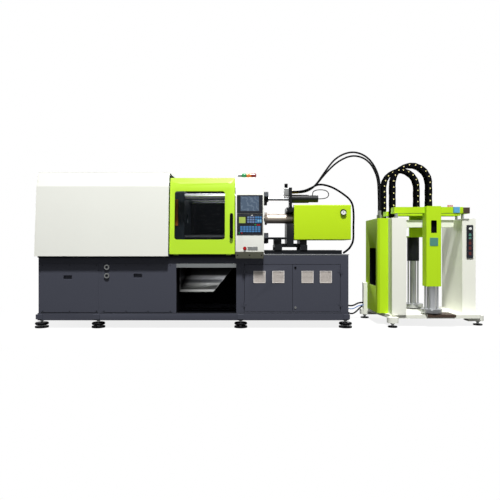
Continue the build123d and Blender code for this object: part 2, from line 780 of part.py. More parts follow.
with BuildPart() as fixed_platen:
    with BuildSketch(Plane.YZ.offset(fixed_x0)):
        platen_outline(bar_radius + fit)
    extrude(amount=fixed_thick)
    platen_feet(fixed_x0, fixed_thick, deck_top)
    axis_bore(fixed_x0, locating_depth, locating_radius)
    axis_bore(fixed_x0, fixed_thick, nozzle_hole)
    with BuildSketch(Plane.XY.offset(axis_z)):
        with BuildLine():
            Polyline((fixed_x1, mid_y), (fixed_x1, mid_y + cone_radius),
                     (fixed_x1 - cone_depth, mid_y + nozzle_hole), (fixed_x1 - cone_depth, mid_y),
                     close=True)
        make_face()
    revolve(axis=Axis((fixed_x0, mid_y, axis_z), (1, 0, 0)), mode=Mode.SUBTRACT)
    mould_bolts(fixed_x0, bolt_depth)

with BuildPart() as moving_platen:
    with BuildSketch(Plane.YZ.offset(moving_x0)):
        platen_outline(bar_radius + bar_clearance)
    extrude(amount=moving_thick)
    platen_feet(moving_x0, moving_thick, deck_top + clamp_rail_height + fit)
    for side in (-1, 1):
        with Locations((moving_x0 + moving_thick / 2, mid_y + side * clamp_rail_y,
                        deck_top + clamp_rail_height + fit + foot_width / 4)):
            Box(moving_thick + 2 * skate_reach, skate_width, foot_width / 2)
    axis_bore(moving_x0 + moving_thick, -moving_locating_depth, locating_radius)
    axis_bore(moving_x0 + moving_thick, -ejector_hole, ejector_radius + fit)
    mould_bolts(moving_x0 + moving_thick, -bolt_depth)
    with Locations((duct_x0 + duct_width / 2, mid_y - (platen_width + duct_thick) / 2,
                    (duct_z0 + duct_z1) / 2)):
        Box(duct_width, duct_thick, duct_z1 - duct_z0)

with BuildPart() as ejector_rod:
    with BuildSketch(Plane.YZ.offset(moving_x0 + moving_thick - ejector_inset)):
        with Locations((mid_y, axis_z)):
            Circle(ejector_radius)
    extrude(amount=-(ejector_hole - ejector_inset - 1))

ram_inner_x = cylinder_x1 - platen_stroke - ram_engaged
with BuildPart() as clamp_block:
    with BuildSketch(Plane.YZ.offset(end_x0)):
        platen_outline(bar_radius + fit)
    extrude(amount=end_thick)
    platen_feet(end_x0, end_thick, deck_top)
    with BuildSketch(Plane.YZ.offset(end_x0 + end_thick)):
        with Locations((mid_y, axis_z)):
            Circle(cylinder_radius)
    extrude(amount=cylinder_x1 - end_x0 - end_thick)
    for flange_x in (end_x0 + end_thick, cylinder_x1 - cylinder_flange_length):
        with BuildSketch(Plane.YZ.offset(flange_x)):
            with Locations((mid_y, axis_z)):
                Circle(cylinder_flange)
        extrude(amount=cylinder_flange_length)
    axis_bore(cylinder_x1, ram_inner_x - ram_engaged - cylinder_x1, ram_radius + fit)

with BuildPart() as clamp_ram:
    with BuildSketch(Plane.YZ.offset(ram_inner_x)):
        with Locations((mid_y, axis_z)):
            Circle(ram_radius)
    extrude(amount=moving_x0 - ram_inner_x)
    with BuildSketch(Plane.YZ.offset(moving_x0)):
        with Locations((mid_y, axis_z)):
            Circle(ram_flange_radius)
    extrude(amount=-ram_flange)

with BuildPart() as tie_bars:
    with BuildSketch(Plane.YZ.offset(end_x0 - nut_length)):
        with Locations((mid_y, axis_z)):
            with GridLocations(bar_pitch_y, bar_pitch_z, 2, 2):
                Circle(bar_radius)
    extrude(amount=fixed_x1 - end_x0 + 2 * nut_length)
    for nut_x in (end_x0 - nut_length, fixed_x1):
        with BuildSketch(Plane.YZ.offset(nut_x)):
            with Locations((mid_y, axis_z)):
                with GridLocations(bar_pitch_y, bar_pitch_z, 2, 2):
                    RegularPolygon(nut_radius, 8)
        extrude(amount=nut_length)

# Guide rails of the moving platen and of the injection carriage, and the upper gate rails
carriage_rail_y = 230.0
carriage_rail_width = 45.0
carriage_rail_height = 50.0
carriage_rail_x0 = fixed_x1 + 20.0
carriage_rail_x1 = bed_x1 - 25.0
clamp_rail_x0 = moving_x0 - skate_reach - 63.0
clamp_rail_x1 = fixed_x0 - 24.0

with BuildPart() as slide_rails:
    for x0, x1, reach, width, height in (
            (clamp_rail_x0, clamp_rail_x1, clamp_rail_y, clamp_rail_width, clamp_rail_height),
            (carriage_rail_x0, carriage_rail_x1, carriage_rail_y, carriage_rail_width,
             carriage_rail_height)):
        with Locations(((x0 + x1) / 2, mid_y, deck_top + height / 2)):
            with GridLocations(1, 2 * reach, 1, 2):
                Box(x1 - x0, width, height)
    with Locations(((bed_x0 + rail_x1) / 2, mid_y, rail_z)):
        with GridLocations(1, 2 * (mid_y - rail_y - rail_thick / 2), 1, 2):
            Box(rail_x1 - bed_x0, rail_thick, rail_height)

# Injection carriage: shoes on the rails, cross blocks, beam, front plate and lug
shoe_height = 38.0
front_block_x0 = bed_x0 + 2967.0
front_block_x1 = bed_x0 + 3065.0
front_block_top = 1129.0
front_block_reach = 130.0
rear_block_x0 = bed_x0 + 3304.0
rear_block_x1 = bed_x0 + 3396.0
rear_block_reach = 200.0
bridge_height = 30.0
beam_reach = 90.0
beam_height = 50.0
press_plate_x0 = bed_x0 + 3132.0
press_plate_thick = 90.0
press_plate_x1 = press_plate_x0 + press_plate_thick
press_plate_reach = 200.0
press_plate_top = 1541.0
housing_bottom = 1107.0
housing_top = 1566.0
housing_reach = 270.0
housing_length = 743.0
housing_edge = 10.0
housing_x1 = press_plate_x1 + housing_length
lug_x0 = bed_x0 + 3160.0
lug_thick = 40.0
lug_x1 = lug_x0 + lug_thick
lug_y = mid_y - 130.0
lug_width = 150.0
lug_top = 1800.0
rod_z = 1657.0
rod_radius = 25.0
low_rod_radius = 12.0
low_rod_reach = 160.0
low_rod_z = 1132.0
carriage_stroke = 250.0
barrel_radius = 66.0
barrel_flange_radius = 85.0
barrel_notch = 78.0         # half height of the plate's front notch over the barrel
barrel_flange = 30.0
barrel_x0 = fixed_x1 + 20.0
nozzle_length = 184.0
nozzle_root = 40.0
nozzle_mid = 30.0
nozzle_tip = 12.0
nozzle_taper = 40.0
carriage_bottom = deck_top + carriage_rail_height + fit
carriage_deck = carriage_bottom + shoe_height

with BuildPart() as carriage:
    for x0, x1 in ((front_block_x0, front_block_x1), (rear_block_x0, rear_block_x1)):
        with Locations(((x0 + x1) / 2, mid_y, carriage_bottom + shoe_height / 2)):
            with GridLocations(1, 2 * carriage_rail_y, 1, 2):
                Box(x1 - x0, skate_width, shoe_height)
        with Locations(((x0 + x1) / 2, mid_y, carriage_deck + bridge_height / 2)):
            Box(x1 - x0, 2 * carriage_rail_y + skate_width, bridge_height)
    with Locations(((front_block_x0 + front_block_x1) / 2, mid_y,
                    (carriage_deck + front_block_top) / 2)):
        Box(front_block_x1 - front_block_x0, 2 * front_block_reach,
            front_block_top - carriage_deck)
    with Locations(((rear_block_x0 + rear_block_x1) / 2, mid_y,
                    (carriage_deck + housing_bottom) / 2)):
        Box(rear_block_x1 - rear_block_x0, 2 * rear_block_reach, housing_bottom - carriage_deck)
    with Locations(((front_block_x0 + rear_block_x1) / 2, mid_y,
                    carriage_deck + beam_height / 2)):
        Box(rear_block_x1 - front_block_x0, 2 * beam_reach, beam_height)
    with BuildSketch(Plane.YZ.offset(press_plate_x0)):
        with Locations((mid_y, (carriage_deck + press_plate_top) / 2)):
            RectangleRounded(2 * press_plate_reach, press_plate_top - carriage_deck, 20)
        with Locations((mid_y, axis_z)):
            Circle(barrel_radius + fit, mode=Mode.SUBTRACT)
        with Locations((mid_y - press_plate_reach, axis_z)):
            Rectangle(2 * press_plate_reach, 2 * barrel_notch, mode=Mode.SUBTRACT)
    extrude(amount=press_plate_thick)
    with BuildSketch(Plane.YZ.offset(lug_x0)):
        with Locations((lug_y, (press_plate_top - 10 + lug_top) / 2)):
            Rectangle(lug_width, lug_top - press_plate_top + 10)
    extrude(amount=lug_thick)
    with BuildSketch(Plane.YZ.offset(lug_x0)):
        with Locations((lug_y, rod_z)):
            Circle(rod_radius + fit)
    extrude(amount=lug_thick, mode=Mode.SUBTRACT)
    with BuildSketch(Plane.YZ.offset(press_plate_x0)):
        with Locations((mid_y, low_rod_z)):
            with GridLocations(2 * low_rod_reach, 1, 2, 1):
                Circle(low_rod_radius + fit)
    extrude(amount=press_plate_thick, mode=Mode.SUBTRACT)

with BuildPart() as barrel:
    with BuildSketch(Plane.XY.offset(axis_z)):
        with BuildLine():
            Polyline((barrel_x0 - nozzle_length, mid_y),
                     (barrel_x0 - nozzle_length, mid_y + nozzle_tip),
                     (barrel_x0 - nozzle_length + nozzle_taper, mid_y + nozzle_mid),
                     (barrel_x0 - nozzle_taper, mid_y + nozzle_mid),
                     (barrel_x0 - nozzle_taper, mid_y + nozzle_root),
                     (barrel_x0, mid_y + nozzle_root),
                     (barrel_x0, mid_y + barrel_flange_radius),
                     (barrel_x0 + barrel_flange, mid_y + barrel_flange_radius),
                     (barrel_x0 + barrel_flange, mid_y + barrel_radius),
                     (press_plate_x1, mid_y + barrel_radius), (press_plate_x1, mid_y), close=True)
        make_face()
    revolve(axis=Axis((barrel_x0, mid_y, axis_z), (1, 0, 0)))

# Injection housing over the drive, with blind holes that the lower guide rods run in
rod_reach = carriage_stroke - press_plate_thick + 50.0     # rods past the plate at rest

with BuildPart() as injection_housing:
    with BuildSketch(Plane.YZ.offset(press_plate_x1)):
        with Locations((mid_y, (housing_bottom + housing_top) / 2)):
            RectangleRounded(2 * housing_reach, housing_top - housing_bottom, housing_edge)
    extrude(amount=housing_length)
    with BuildSketch(Plane.YZ.offset(press_plate_x1)):
        with Locations((mid_y, low_rod_z)):
            with GridLocations(2 * low_rod_reach, 1, 2, 1):
                Circle(low_rod_radius + 3)
    extrude(amount=rod_reach + 20, mode=Mode.SUBTRACT)

# Fixed rods: the traverse rod above and two guide rods below, seated on the fixed platen
cylinder_body = 224.0
cylinder_step = 128.0
cylinder_body_radius = 56.0
cylinder_step_radius = 47.0
cylinder_wall = 22.0
with BuildPart() as traverse_rods:
    with BuildSketch(Plane.YZ.offset(fixed_x1)):
        with Locations((lug_y, rod_z)):
            Circle(rod_radius)
    extrude(amount=lug_x1 + cylinder_body + cylinder_step - cylinder_wall - 20 - fixed_x1)
    with BuildSketch(Plane.YZ.offset(fixed_x1)):
        with Locations((mid_y, low_rod_z)):
            with GridLocations(2 * low_rod_reach, 1, 2, 1):
                Circle(low_rod_radius)
    extrude(amount=press_plate_x1 + rod_reach - fixed_x1)

# Traverse cylinder on the lug, and the metering valve on the lug's other face
valve_length = 67.0
valve_width = 96.0
valve_bottom = 1692.0
valve_top = 1798.0
cap_radius = 22.0
cap_height = 60.0
with BuildPart() as traverse_cylinder:
    with BuildSketch(Plane.YZ.offset(lug_x1)):
        with Locations((lug_y, rod_z)):
            Circle(cylinder_body_radius)
    extrude(amount=cylinder_body)
    with BuildSketch(Plane.YZ.offset(lug_x1 + cylinder_body)):
        with Locations((lug_y, rod_z)):
            Circle(cylinder_step_radius)
    extrude(amount=cylinder_step)
    with BuildSketch(Plane.YZ.offset(lug_x1)):
        with Locations((lug_y, rod_z)):
            Circle(rod_radius + fit)
    extrude(amount=cylinder_body + cylinder_step - cylinder_wall, mode=Mode.SUBTRACT)
    with BuildSketch(Plane.YZ.offset(lug_x0)):
        with Locations((lug_y, (valve_bottom + valve_top) / 2)):
            RectangleRounded(valve_width, valve_top - valve_bottom, 8)
    extrude(amount=-valve_length)
    with BuildSketch(Plane.XY.offset(valve_top)):
        with Locations((lug_x0 - valve_length / 2, lug_y)):
            Circle(cap_radius)
    extrude(amount=cap_height)

# Pressure gauge on the housing: ring with a recessed dial, and its needle
gauge_x = bed_x0 + 3864.0
gauge_z = 1468.0
gauge_radius = 39.0
gauge_dial = 34.0
gauge_depth = 28.0
gauge_recess = 8.0
needle_pivot = 2.0
needle_hub = 5.0
needle_length = 25.0
needle_thick = 2.0
housing_face = mid_y - housing_reach
dial_y = housing_face - gauge_depth + gauge_recess

with BuildPart() as gauge:
    with BuildSketch(Plane.XZ.offset(-housing_face)):
        with Locations((gauge_x, gauge_z)):
            Circle(gauge_radius)
    extrude(amount=gauge_depth)
    with BuildSketch(Plane.XZ.offset(-dial_y)):
        with Locations((gauge_x, gauge_z)):
            Circle(gauge_dial)
    extrude(amount=gauge_recess, mode=Mode.SUBTRACT)
    with BuildSketch(Plane.XZ.offset(-dial_y)):
        with Locations((gauge_x, gauge_z)):
            Circle(needle_pivot + pin_fit)
    extrude(amount=-gauge_recess, mode=Mode.SUBTRACT)

with BuildPart() as gauge_needle:
    with BuildSketch(Plane.XZ.offset(-(dial_y - fit))):
        with Locations((gauge_x, gauge_z)):
            Circle(needle_hub)
            with Locations((0, needle_length / 2)):
                Rectangle(needle_pivot, needle_length)
    extrude(amount=needle_thick)
    with BuildSketch(Plane.XZ.offset(-(dial_y - fit))):
        with Locations((gauge_x, gauge_z)):
            Circle(needle_pivot)
    extrude(amount=-(gauge_recess - 1))

# Brass hose fittings on the lug, and the two hose ports on the dosing cabinet
fitting_length = 88.0
fitting_nut = 19.0
fitting_radius = 15.0
fitting_z = 1745.0
fitting_ys = (lug_y - 24.0, lug_y + 24.0)
port_u = 77.0               # ports from the left face of the dosing unit
port_ds = (420.0, 500.0)    # ports behind the front plane
port_height = 110.0
hose_radius = 12.0

with BuildPart() as hose_fittings:
    with BuildSketch(Plane.YZ.offset(lug_x1)):
        with Locations(*[(y, fitting_z) for y in fitting_ys]):
            RegularPolygon(fitting_nut, 6)
    extrude(amount=fitting_length / 2)
    with BuildSketch(Plane.YZ.offset(lug_x1 + fitting_length / 2)):
        with Locations(*[(y, fitting_z) for y in fitting_ys]):
            Circle(fitting_radius)
    extrude(amount=fitting_length / 2)

# Dosing unit: chassis with rounded foot ears, drum plate and cable box
base_length = dosing_length - 82.0
base_front = 100.0          # depths of the dosing unit are measured behind the front plane
base_back = 950.0
base_top = 150.0
base_corner = 30.0
base_cut = 118.0            # the left edge leans in toward the front by this much
base_cut_back = 800.0
drum_length = 359.0
drum_offset = 42.0          # plate right of the middle between post and column
drum_front = 50.0
drum_back = 300.0
drum_top = 158.0
drum_lip = 124.0
drum_lip_thick = 8.0
cable_box_width = 53.0
cable_box_depth = 80.0
cable_box_top = 510.0
cable_box_back = 890.0
cabinet_x1 = dos_x0 + 179.0
cabinet_front = 250.0
cabinet_rear = 900.0
cabinet_top = 1390.0
cabinet_bevel = 25.0
slot_front = 348.0
slot_back = 680.0
slot_bottom = 500.0
slot_top = 1000.0
slot_depth = 110.0
nose_x0 = dos_x0 + 134.0
post_x1 = dos_x0 + 317.0
nose_front = 80.0
portal_top = 1383.0
column_x1 = dos_x0 + base_length
column_x0 = column_x1 - 175.0
drum_mid = (post_x1 + column_x0) / 2 + drum_offset
column_front = 270.0
column_top_back = 600.0
column_bend = 710.0
column_back = 940.0
back_beam_front = 550.0
back_beam_thick = 55.0
back_beam_bottom = 1282.0

with BuildPart() as dosing_base:
    with BuildSketch(Plane.XY.offset(dos_ground)):
        with BuildLine():
            Polyline((dos_x0 + base_cut, front_y + base_front),
                     (dos_x0 + base_length, front_y + base_front),
                     (dos_x0 + base_length, front_y + base_back),
                     (dos_x0, front_y + base_back), (dos_x0, front_y + base_cut_back),
                     close=True)
        chassis = make_face()
        fillet(chassis.vertices(), radius=base_corner)
    extrude(amount=base_top - dos_ground)
    with BuildSketch(Plane.XY.offset(ear_bottom)):
        for foot_u, foot_d in dos_feet:
            inner_u = min(max(foot_u, 2.5 * ear_radius), base_length - 2 * ear_radius)
            with Locations((dos_x0 + foot_u, front_y + foot_d)):
                Circle(ear_radius)
            with Locations((dos_x0 + (foot_u + inner_u) / 2, front_y + foot_d)):
                Rectangle(abs(foot_u - inner_u), 2 * ear_radius)
    extrude(amount=ear_thick)
    with BuildSketch(Plane.XY.offset(base_top)):
        with Locations((drum_mid, front_y + (drum_front + drum_back) / 2)):
            Rectangle(drum_length, drum_back - drum_front)
    extrude(amount=drum_top - base_top)
    with Locations((drum_mid, front_y + drum_front + drum_lip_thick / 2,
                    (drum_lip + drum_top) / 2)):
        Box(drum_length, drum_lip_thick, drum_top - drum_lip)
    with Locations((dos_x0 - cable_box_width / 2, front_y + cable_box_back - cable_box_depth / 2,
                    (ear_bottom + cable_box_top) / 2)):
        Box(cable_box_width, cable_box_depth, cable_box_top - ear_bottom)

with BuildPart() as dosing_cabinet:
    with BuildSketch(Plane.XY.offset(base_top)):
        with BuildLine():
            Polyline((dos_x0 + cabinet_bevel, front_y + cabinet_front),
                     (cabinet_x1, front_y + cabinet_front), (cabinet_x1, front_y + cabinet_rear),
                     (dos_x0, front_y + cabinet_rear),
                     (dos_x0, front_y + cabinet_front + cabinet_bevel), close=True)
        make_face()
    extrude(amount=cabinet_top - base_top)
    with BuildSketch(Plane.YZ.offset(dos_x0)):
        with Locations((front_y + (slot_front + slot_back) / 2, (slot_bottom + slot_top) / 2)):
            RectangleRounded(slot_back - slot_front, slot_top - slot_bottom, 12)
    extrude(amount=slot_depth, mode=Mode.SUBTRACT)

# White portal: post beside the cabinet, back beam and column, bored for the lift rods
lift_radius = 20.0
lift_stroke = 600.0
lift_engaged = 60.0
left_rod_u = 225.0
right_rod_u = base_length - 133.0
front_left_d = 200.0
front_right_d = 360.0
rear_rod_d = 545.0
beam_bottom = 1448.0
rear_beam_bottom = 1437.0
rod_bottom = portal_top - lift_stroke - lift_engaged
rod_places = ((left_rod_u, front_left_d), (right_rod_u, front_right_d),
              (left_rod_u, rear_rod_d), (right_rod_u, rear_rod_d))

with BuildPart() as dosing_frame:
    with BuildSketch(Plane.XY.offset(base_top)):
        with BuildLine():
            Polyline((nose_x0, front_y + nose_front), (post_x1, front_y + nose_front),
                     (post_x1, front_y + cabinet_rear), (cabinet_x1, front_y + cabinet_rear),
                     (cabinet_x1, front_y + cabinet_front), (nose_x0, front_y + cabinet_front),
                     close=True)
        make_face()
    extrude(amount=portal_top - base_top)
    with BuildSketch(Plane.YZ.offset(column_x0)):
        with BuildLine():
            Polyline((front_y + column_front, base_top), (front_y + column_front, portal_top),
                     (front_y + column_top_back, portal_top), (front_y + column_back, column_bend),
                     (front_y + column_back, base_top), close=True)
        make_face()
    extrude(amount=column_x1 - column_x0)
    with Locations(((post_x1 + column_x0) / 2, front_y + back_beam_front + back_beam_thick / 2,
                    (back_beam_bottom + portal_top) / 2)):
        Box(column_x0 - post_x1, back_beam_thick, portal_top - back_beam_bottom)
    with BuildSketch(Plane.XY.offset(portal_top)):
        with Locations(*[(dos_x0 + rod_u, front_y + rod_d) for rod_u, rod_d in rod_places]):
            Circle(lift_radius + fit)
    extrude(amount=rod_bottom - lift_engaged / 2 - portal_top, mode=Mode.SUBTRACT)

# Control strip on the column, its knob and two push buttons
strip_x = column_x1 - 79.0
strip_width = 86.0
strip_z0 = 869.0
strip_z1 = 1300.0
strip_thick = 12.0
strip_face = front_y + column_front - strip_thick
knob_radius = 18.0
knob_height = 16.0
knob_z = 1250.0
strip_button_radius = 11.0
strip_green_z = 1180.0
strip_red_z = 1110.0
strip_proud = 5.0
strip_button_depth = 10.0
knob_shaft = 5.0

with BuildPart() as control_strip:
    with BuildSketch(Plane.XZ.offset(-(strip_face + strip_thick))):
        with Locations((strip_x, (strip_z0 + strip_z1) / 2)):
            RectangleRounded(strip_width, strip_z1 - strip_z0, 10)
        with Locations((strip_x, knob_z)):
            Circle(knob_shaft + pin_fit, mode=Mode.SUBTRACT)
        with Locations((strip_x, strip_green_z), (strip_x, strip_red_z)):
            Circle(strip_button_radius + fit, mode=Mode.SUBTRACT)
    extrude(amount=strip_thick)

with BuildPart() as strip_knob:
    with BuildSketch(Plane.XZ.offset(-(strip_face - fit))):
        with Locations((strip_x, knob_z)):
            Circle(knob_radius)
    extrude(amount=knob_height)
    chamfer(strip_knob.faces().sort_by(Axis.Y)[0].edges(), length=3)
    with BuildSketch(Plane.XZ.offset(-(strip_face - fit))):
        with Locations((strip_x, knob_z)):
            Circle(knob_shaft)
    extrude(amount=-strip_button_depth)
    with BuildSketch(Plane.XZ.offset(-(strip_face - fit - knob_height))):
        with Locations((strip_x, knob_z + knob_radius / 2)):
            Rectangle(3, knob_radius / 2)
    extrude(amount=1)

with BuildPart() as strip_green:
    push_button(strip_x, strip_green_z, strip_face, strip_button_radius, strip_proud,
                strip_thick - button_travel - 1)

with BuildPart() as strip_red:
    push_button(strip_x, strip_red_z, strip_face, strip_button_radius, strip_proud,
                strip_thick - button_travel - 1)

# Front lift: beam, motor cover, rod clamp, valve box and push-in fittings; pump and rods
clamp_x1 = column_x1 - 99.0
beam_x0 = dos_x0 + left_rod_u - lift_radius - 22.0
beam_x1 = clamp_x1 - 117.0
beam_front = 150.0
beam_back = 295.0
beam_top = 1526.0
clamp_front = 220.0
clamp_back = 420.0
motor_x = (beam_x0 + beam_x1) / 2 + 40.0
motor_width = 190.0
motor_front = 80.0
motor_back = 232.0
motor_bottom = 512.0
motor_top = 1532.0
motor_slot_width = 72.0
motor_slot_z0 = 1190.0
motor_slot_z1 = 1350.0
motor_slot_depth = 40.0
motor_plate_z = 1078.0
motor_plate_size = 104.0
valve_x = beam_x1 - 94.0
valve_size = 74.0
valve_proud = 30.0
bracket_half = 45.0
bracket_back = 440.0
bracket_thick = 40.0
chain_right_u = 702.0
chain_left_u = 222.0
pump_radius = 55.0
pump_rod_radius = 14.0
pump_rod_reach = 78.0
follower_radius = 130.0
follower_rim = 12.0
follower_z0 = 168.0
follower_z1 = 222.0
pump_d = 165.0
fitting_row = (187.0, 162.0, 137.0)           # back from the end of the beam
fitting_small = 8.0
fitting_tall = 26.0

with BuildPart() as front_beam:
    with Locations(((beam_x0 + beam_x1) / 2, front_y + (beam_front + beam_back) / 2,
                    (beam_bottom + beam_top) / 2)):
        Box(beam_x1 - beam_x0, beam_back - beam_front, beam_top - beam_bottom)
    with Locations(((beam_x1 + clamp_x1) / 2, front_y + (clamp_front + clamp_back) / 2,
                    (beam_bottom + beam_top) / 2)):
        Box(clamp_x1 - beam_x1, clamp_back - clamp_front, beam_top - beam_bottom)
    with BuildSketch(Plane.XY.offset(motor_bottom)):
        with Locations((motor_x, front_y + (motor_front + motor_back) / 2)):
            RectangleRounded(motor_width, motor_back - motor_front, 10)
    extrude(amount=motor_top - motor_bottom)
    with BuildSketch(Plane.XZ.offset(-(front_y + motor_front))):
        with Locations((motor_x, (motor_slot_z0 + motor_slot_z1) / 2)):
            RectangleRounded(motor_slot_width, motor_slot_z1 - motor_slot_z0, 6)
    extrude(amount=-motor_slot_depth, mode=Mode.SUBTRACT)
    with BuildSketch(Plane.XZ.offset(-(front_y + motor_front))):
        with Locations((motor_x, motor_plate_z)):
            RectangleRounded(motor_plate_size, motor_plate_size, 6)
    extrude(amount=plate_thick)
    with Locations((valve_x, front_y + beam_front - valve_proud / 2,
                    (beam_bottom + beam_top) / 2)):
        Box(valve_size, valve_proud, valve_size)
    with BuildSketch(Plane.XY.offset(beam_top)):
        with Locations(*[(beam_x1 - u, front_y + beam_front + 2 * fitting_small)
                         for u in fitting_row]):
            Circle(fitting_small)
    extrude(amount=fitting_tall)
    with Locations((dos_x0 + chain_right_u, front_y + (beam_front + bracket_back) / 2,
                    beam_top - bracket_thick / 2)):
        Box(2 * bracket_half, bracket_back - beam_front, bracket_thick)


def pump_and_rods(x, depth, radius, bottom, top, tie_radius, tie_reach):
    """Pump tube with its follower plate and two tie rods, centred at x and depth."""
    with BuildSketch(Plane.XY.offset(follower_z0)) as profile:
        with Locations((x, front_y + depth)):
            Circle(follower_radius)
    extrude(profile.sketch, amount=bottom - follower_z0)
    fillet(edges().filter_by(GeomType.CIRCLE).sort_by(Axis.Z)[0], radius=follower_rim)
    with BuildSketch(Plane.XY.offset(bottom)) as profile:
        with Locations((x, front_y + depth)):
            Circle(radius)
        with Locations((x - tie_reach, front_y + depth), (x + tie_reach, front_y + depth)):
            Circle(tie_radius)
    extrude(profile.sketch, amount=top - bottom)


def lift_rods(places, top):
    """Lift rods at their places, from deep in the portal's bores up to a beam."""
    with BuildSketch(Plane.XY.offset(rod_bottom)) as profile:
        with Locations(*[(dos_x0 + rod_u, front_y + rod_d) for rod_u, rod_d in places]):
            Circle(lift_radius)
    extrude(profile.sketch, amount=top - rod_bottom)


with BuildPart() as front_pump:
    pump_and_rods(motor_x, pump_d, pump_radius, follower_z1, motor_bottom, pump_rod_radius,
                  pump_rod_reach)
    lift_rods(rod_places[:2], beam_bottom)

# Rear lift: beam with its hanger plate, black motor over the pump tube
rear_x = dos_x0 + 635.0
rear_d = 770.0
rear_beam_front = 500.0
rear_beam_back = 665.0
rear_beam_top = 1494.0
hanger_front = 630.0
hanger_half = 95.0
flange_z0 = 1150.0
flange_thick = 16.0
flange_back = 870.0
rear_motor_radius = 81.0
rear_motor_bottom = 820.0
rear_chain_u = 690.0

with BuildPart() as rear_beam:
    with Locations(((beam_x0 + clamp_x1) / 2, front_y + (rear_beam_front + rear_beam_back) / 2,
                    (rear_beam_bottom + rear_beam_top) / 2)):
        Box(clamp_x1 - beam_x0, rear_beam_back - rear_beam_front,
            rear_beam_top - rear_beam_bottom)
    with Locations((rear_x, front_y + (hanger_front + rear_beam_back) / 2,
                    (flange_z0 + rear_beam_bottom) / 2)):
        Box(2 * hanger_half, rear_beam_back - hanger_front, rear_beam_bottom - flange_z0)
    with Locations((rear_x, front_y + (hanger_front + flange_back) / 2,
                    flange_z0 + flange_thick / 2)):
        Box(2 * hanger_half, flange_back - hanger_front, flange_thick)

with BuildPart() as rear_pump:
    pump_and_rods(rear_x, rear_d, 0.8 * pump_radius, follower_z1, rear_motor_bottom,
                  pump_rod_radius - 3, pump_rod_reach - 10)
    with BuildSketch(Plane.XY.offset(rear_motor_bottom)):
        with Locations((rear_x, front_y + rear_d)):
            Circle(rear_motor_radius)
    extrude(amount=flange_z0 - rear_motor_bottom)
    lift_rods(rod_places[2:], rear_beam_bottom)

with BuildPart() as hose_ports:
    for depth in port_ds:
        with BuildSketch(Plane.XY.offset(cabinet_top)):
            with Locations((dos_x0 + port_u, front_y + depth)):
                RegularPolygon(1.4 * fitting_nut, 6)
        extrude(amount=port_height / 2)
        with BuildSketch(Plane.XY.offset(cabinet_top + port_height / 2)):
            with Locations((dos_x0 + port_u, front_y + depth)):
                Circle(fitting_radius)
        extrude(amount=port_height / 2)

# Drag chains: outer links with through pins, inner links that turn on them, in an arch
chain_pitch = 78.0
chain_side = 56.0           # height of a link's side plates
chain_plate = 7.0
chain_width = 130.0
chain_pin = 9.0
chain_pin_proud = 3.0
chain_bar = 10.0
chain_lap = 9.0             # plate left round a pin
chain_front_d = 370.0
chain_rear_d = 800.0
chain_peak = 2095.0         # middle line at the top of the arch


def arch_point(x0, x1, peak, distance, z0):
    """Point on the arch's middle line, as X, Z and the angle of travel from +Z."""
    radius = (x1 - x0) / 2
    shoulder = peak - radius
    rise = shoulder - z0
    if distance <= rise:
        return x0, z0 + distance, 0.0
    turned = (distance - rise) / radius
    if turned <= pi:
        return x0 + radius - radius * cos(turned), shoulder + radius * sin(turned), turned
    return x1, shoulder - (distance - rise - pi * radius), pi


def chamfered_plate(length, height):
    """Side plate of a link: a bar with its four corners cut back."""
    cut = height / 3
    half, side = length / 2, height / 2
    Polygon((-half, side - cut), (-half + cut, side), (half - cut, side), (half, side - cut),
            (half, cut - side), (half - cut, -side), (cut - half, -side), (-half, cut - side))


def chain(x0, x1, z0, z1, depth):
    """Drag chain that climbs from (x0, z0), turns over at the peak and comes down to (x1, z1)."""
    radius = (x1 - x0) / 2
    length = 2 * (chain_peak - radius) - z0 - z1 + pi * radius
    count = round(length / chain_pitch)
    pitch = length / count
    joints = [arch_point(x0, x1, chain_peak, n * pitch, z0) for n in range(count + 1)]
    face = front_y + depth - chain_width / 2
    outer, inner, bars, pins, holes = [], [], [], [], []
    for n in range(count):
        (xa, za, turn_a), (xb, zb, turn_b) = joints[n], joints[n + 1]
        place = ((xa + xb) / 2, (za + zb) / 2)
        heading = 90 - (turn_a + turn_b) / 2 * 180 / pi
        (outer if n % 2 == 0 else inner).append((place, heading))
        bars.append((place, heading))
        if n % 2 == 0:
            pins += [(xa, za), (xb, zb)]
    long_side = pitch + 2 * (chain_pin + chain_lap)
    for links, offset_in in ((outer, 0.0), (inner, chain_plate + fit)):
        for plate_y in (face + offset_in, face + chain_width - offset_in - chain_plate):
            with BuildSketch(Plane.XZ.offset(-plate_y)) as profile:
                for place, heading in links:
                    with Locations(Location((*place, 0), (0, 0, heading))):
                        chamfered_plate(long_side, chain_side)
                if offset_in:
                    with Locations(*pins):
                        RegularPolygon(chain_pin + 3 * fit, 8, mode=Mode.SUBTRACT)
            extrude(profile.sketch, amount=-chain_plate)
    for start, links in ((0.0, outer), (chain_plate + fit, inner)):
        with BuildSketch(Plane.XZ.offset(-(face + start + chain_plate / 2))) as profile:
            for place, heading in links:
                for lift in (-1, 1):
                    with Locations(Location((*place, 0), (0, 0, heading))):
                        with Locations((0, lift * (chain_side - chain_bar) / 2)):
                            Rectangle(pitch / 3, chain_bar)
        extrude(profile.sketch, amount=-(chain_width - 2 * start - chain_plate))
    with BuildSketch(Plane.XZ.offset(-(face - chain_pin_proud))) as profile:
        with Locations(*pins):
            RegularPolygon(chain_pin, 8)
    extrude(profile.sketch, amount=-(chain_width + 2 * chain_pin_proud))


chain_seat = chain_pin + chain_lap      # end of a link below its first joint
with BuildPart() as chain_front:
    chain(dos_x0 + chain_left_u, dos_x0 + chain_right_u, portal_top + chain_seat,
          beam_top + chain_seat, chain_front_d)

with BuildPart() as chain_rear:
    chain(dos_x0 + chain_left_u, dos_x0 + rear_chain_u, portal_top + chain_seat,
          flange_z0 + flange_thick + chain_seat, chain_rear_d)

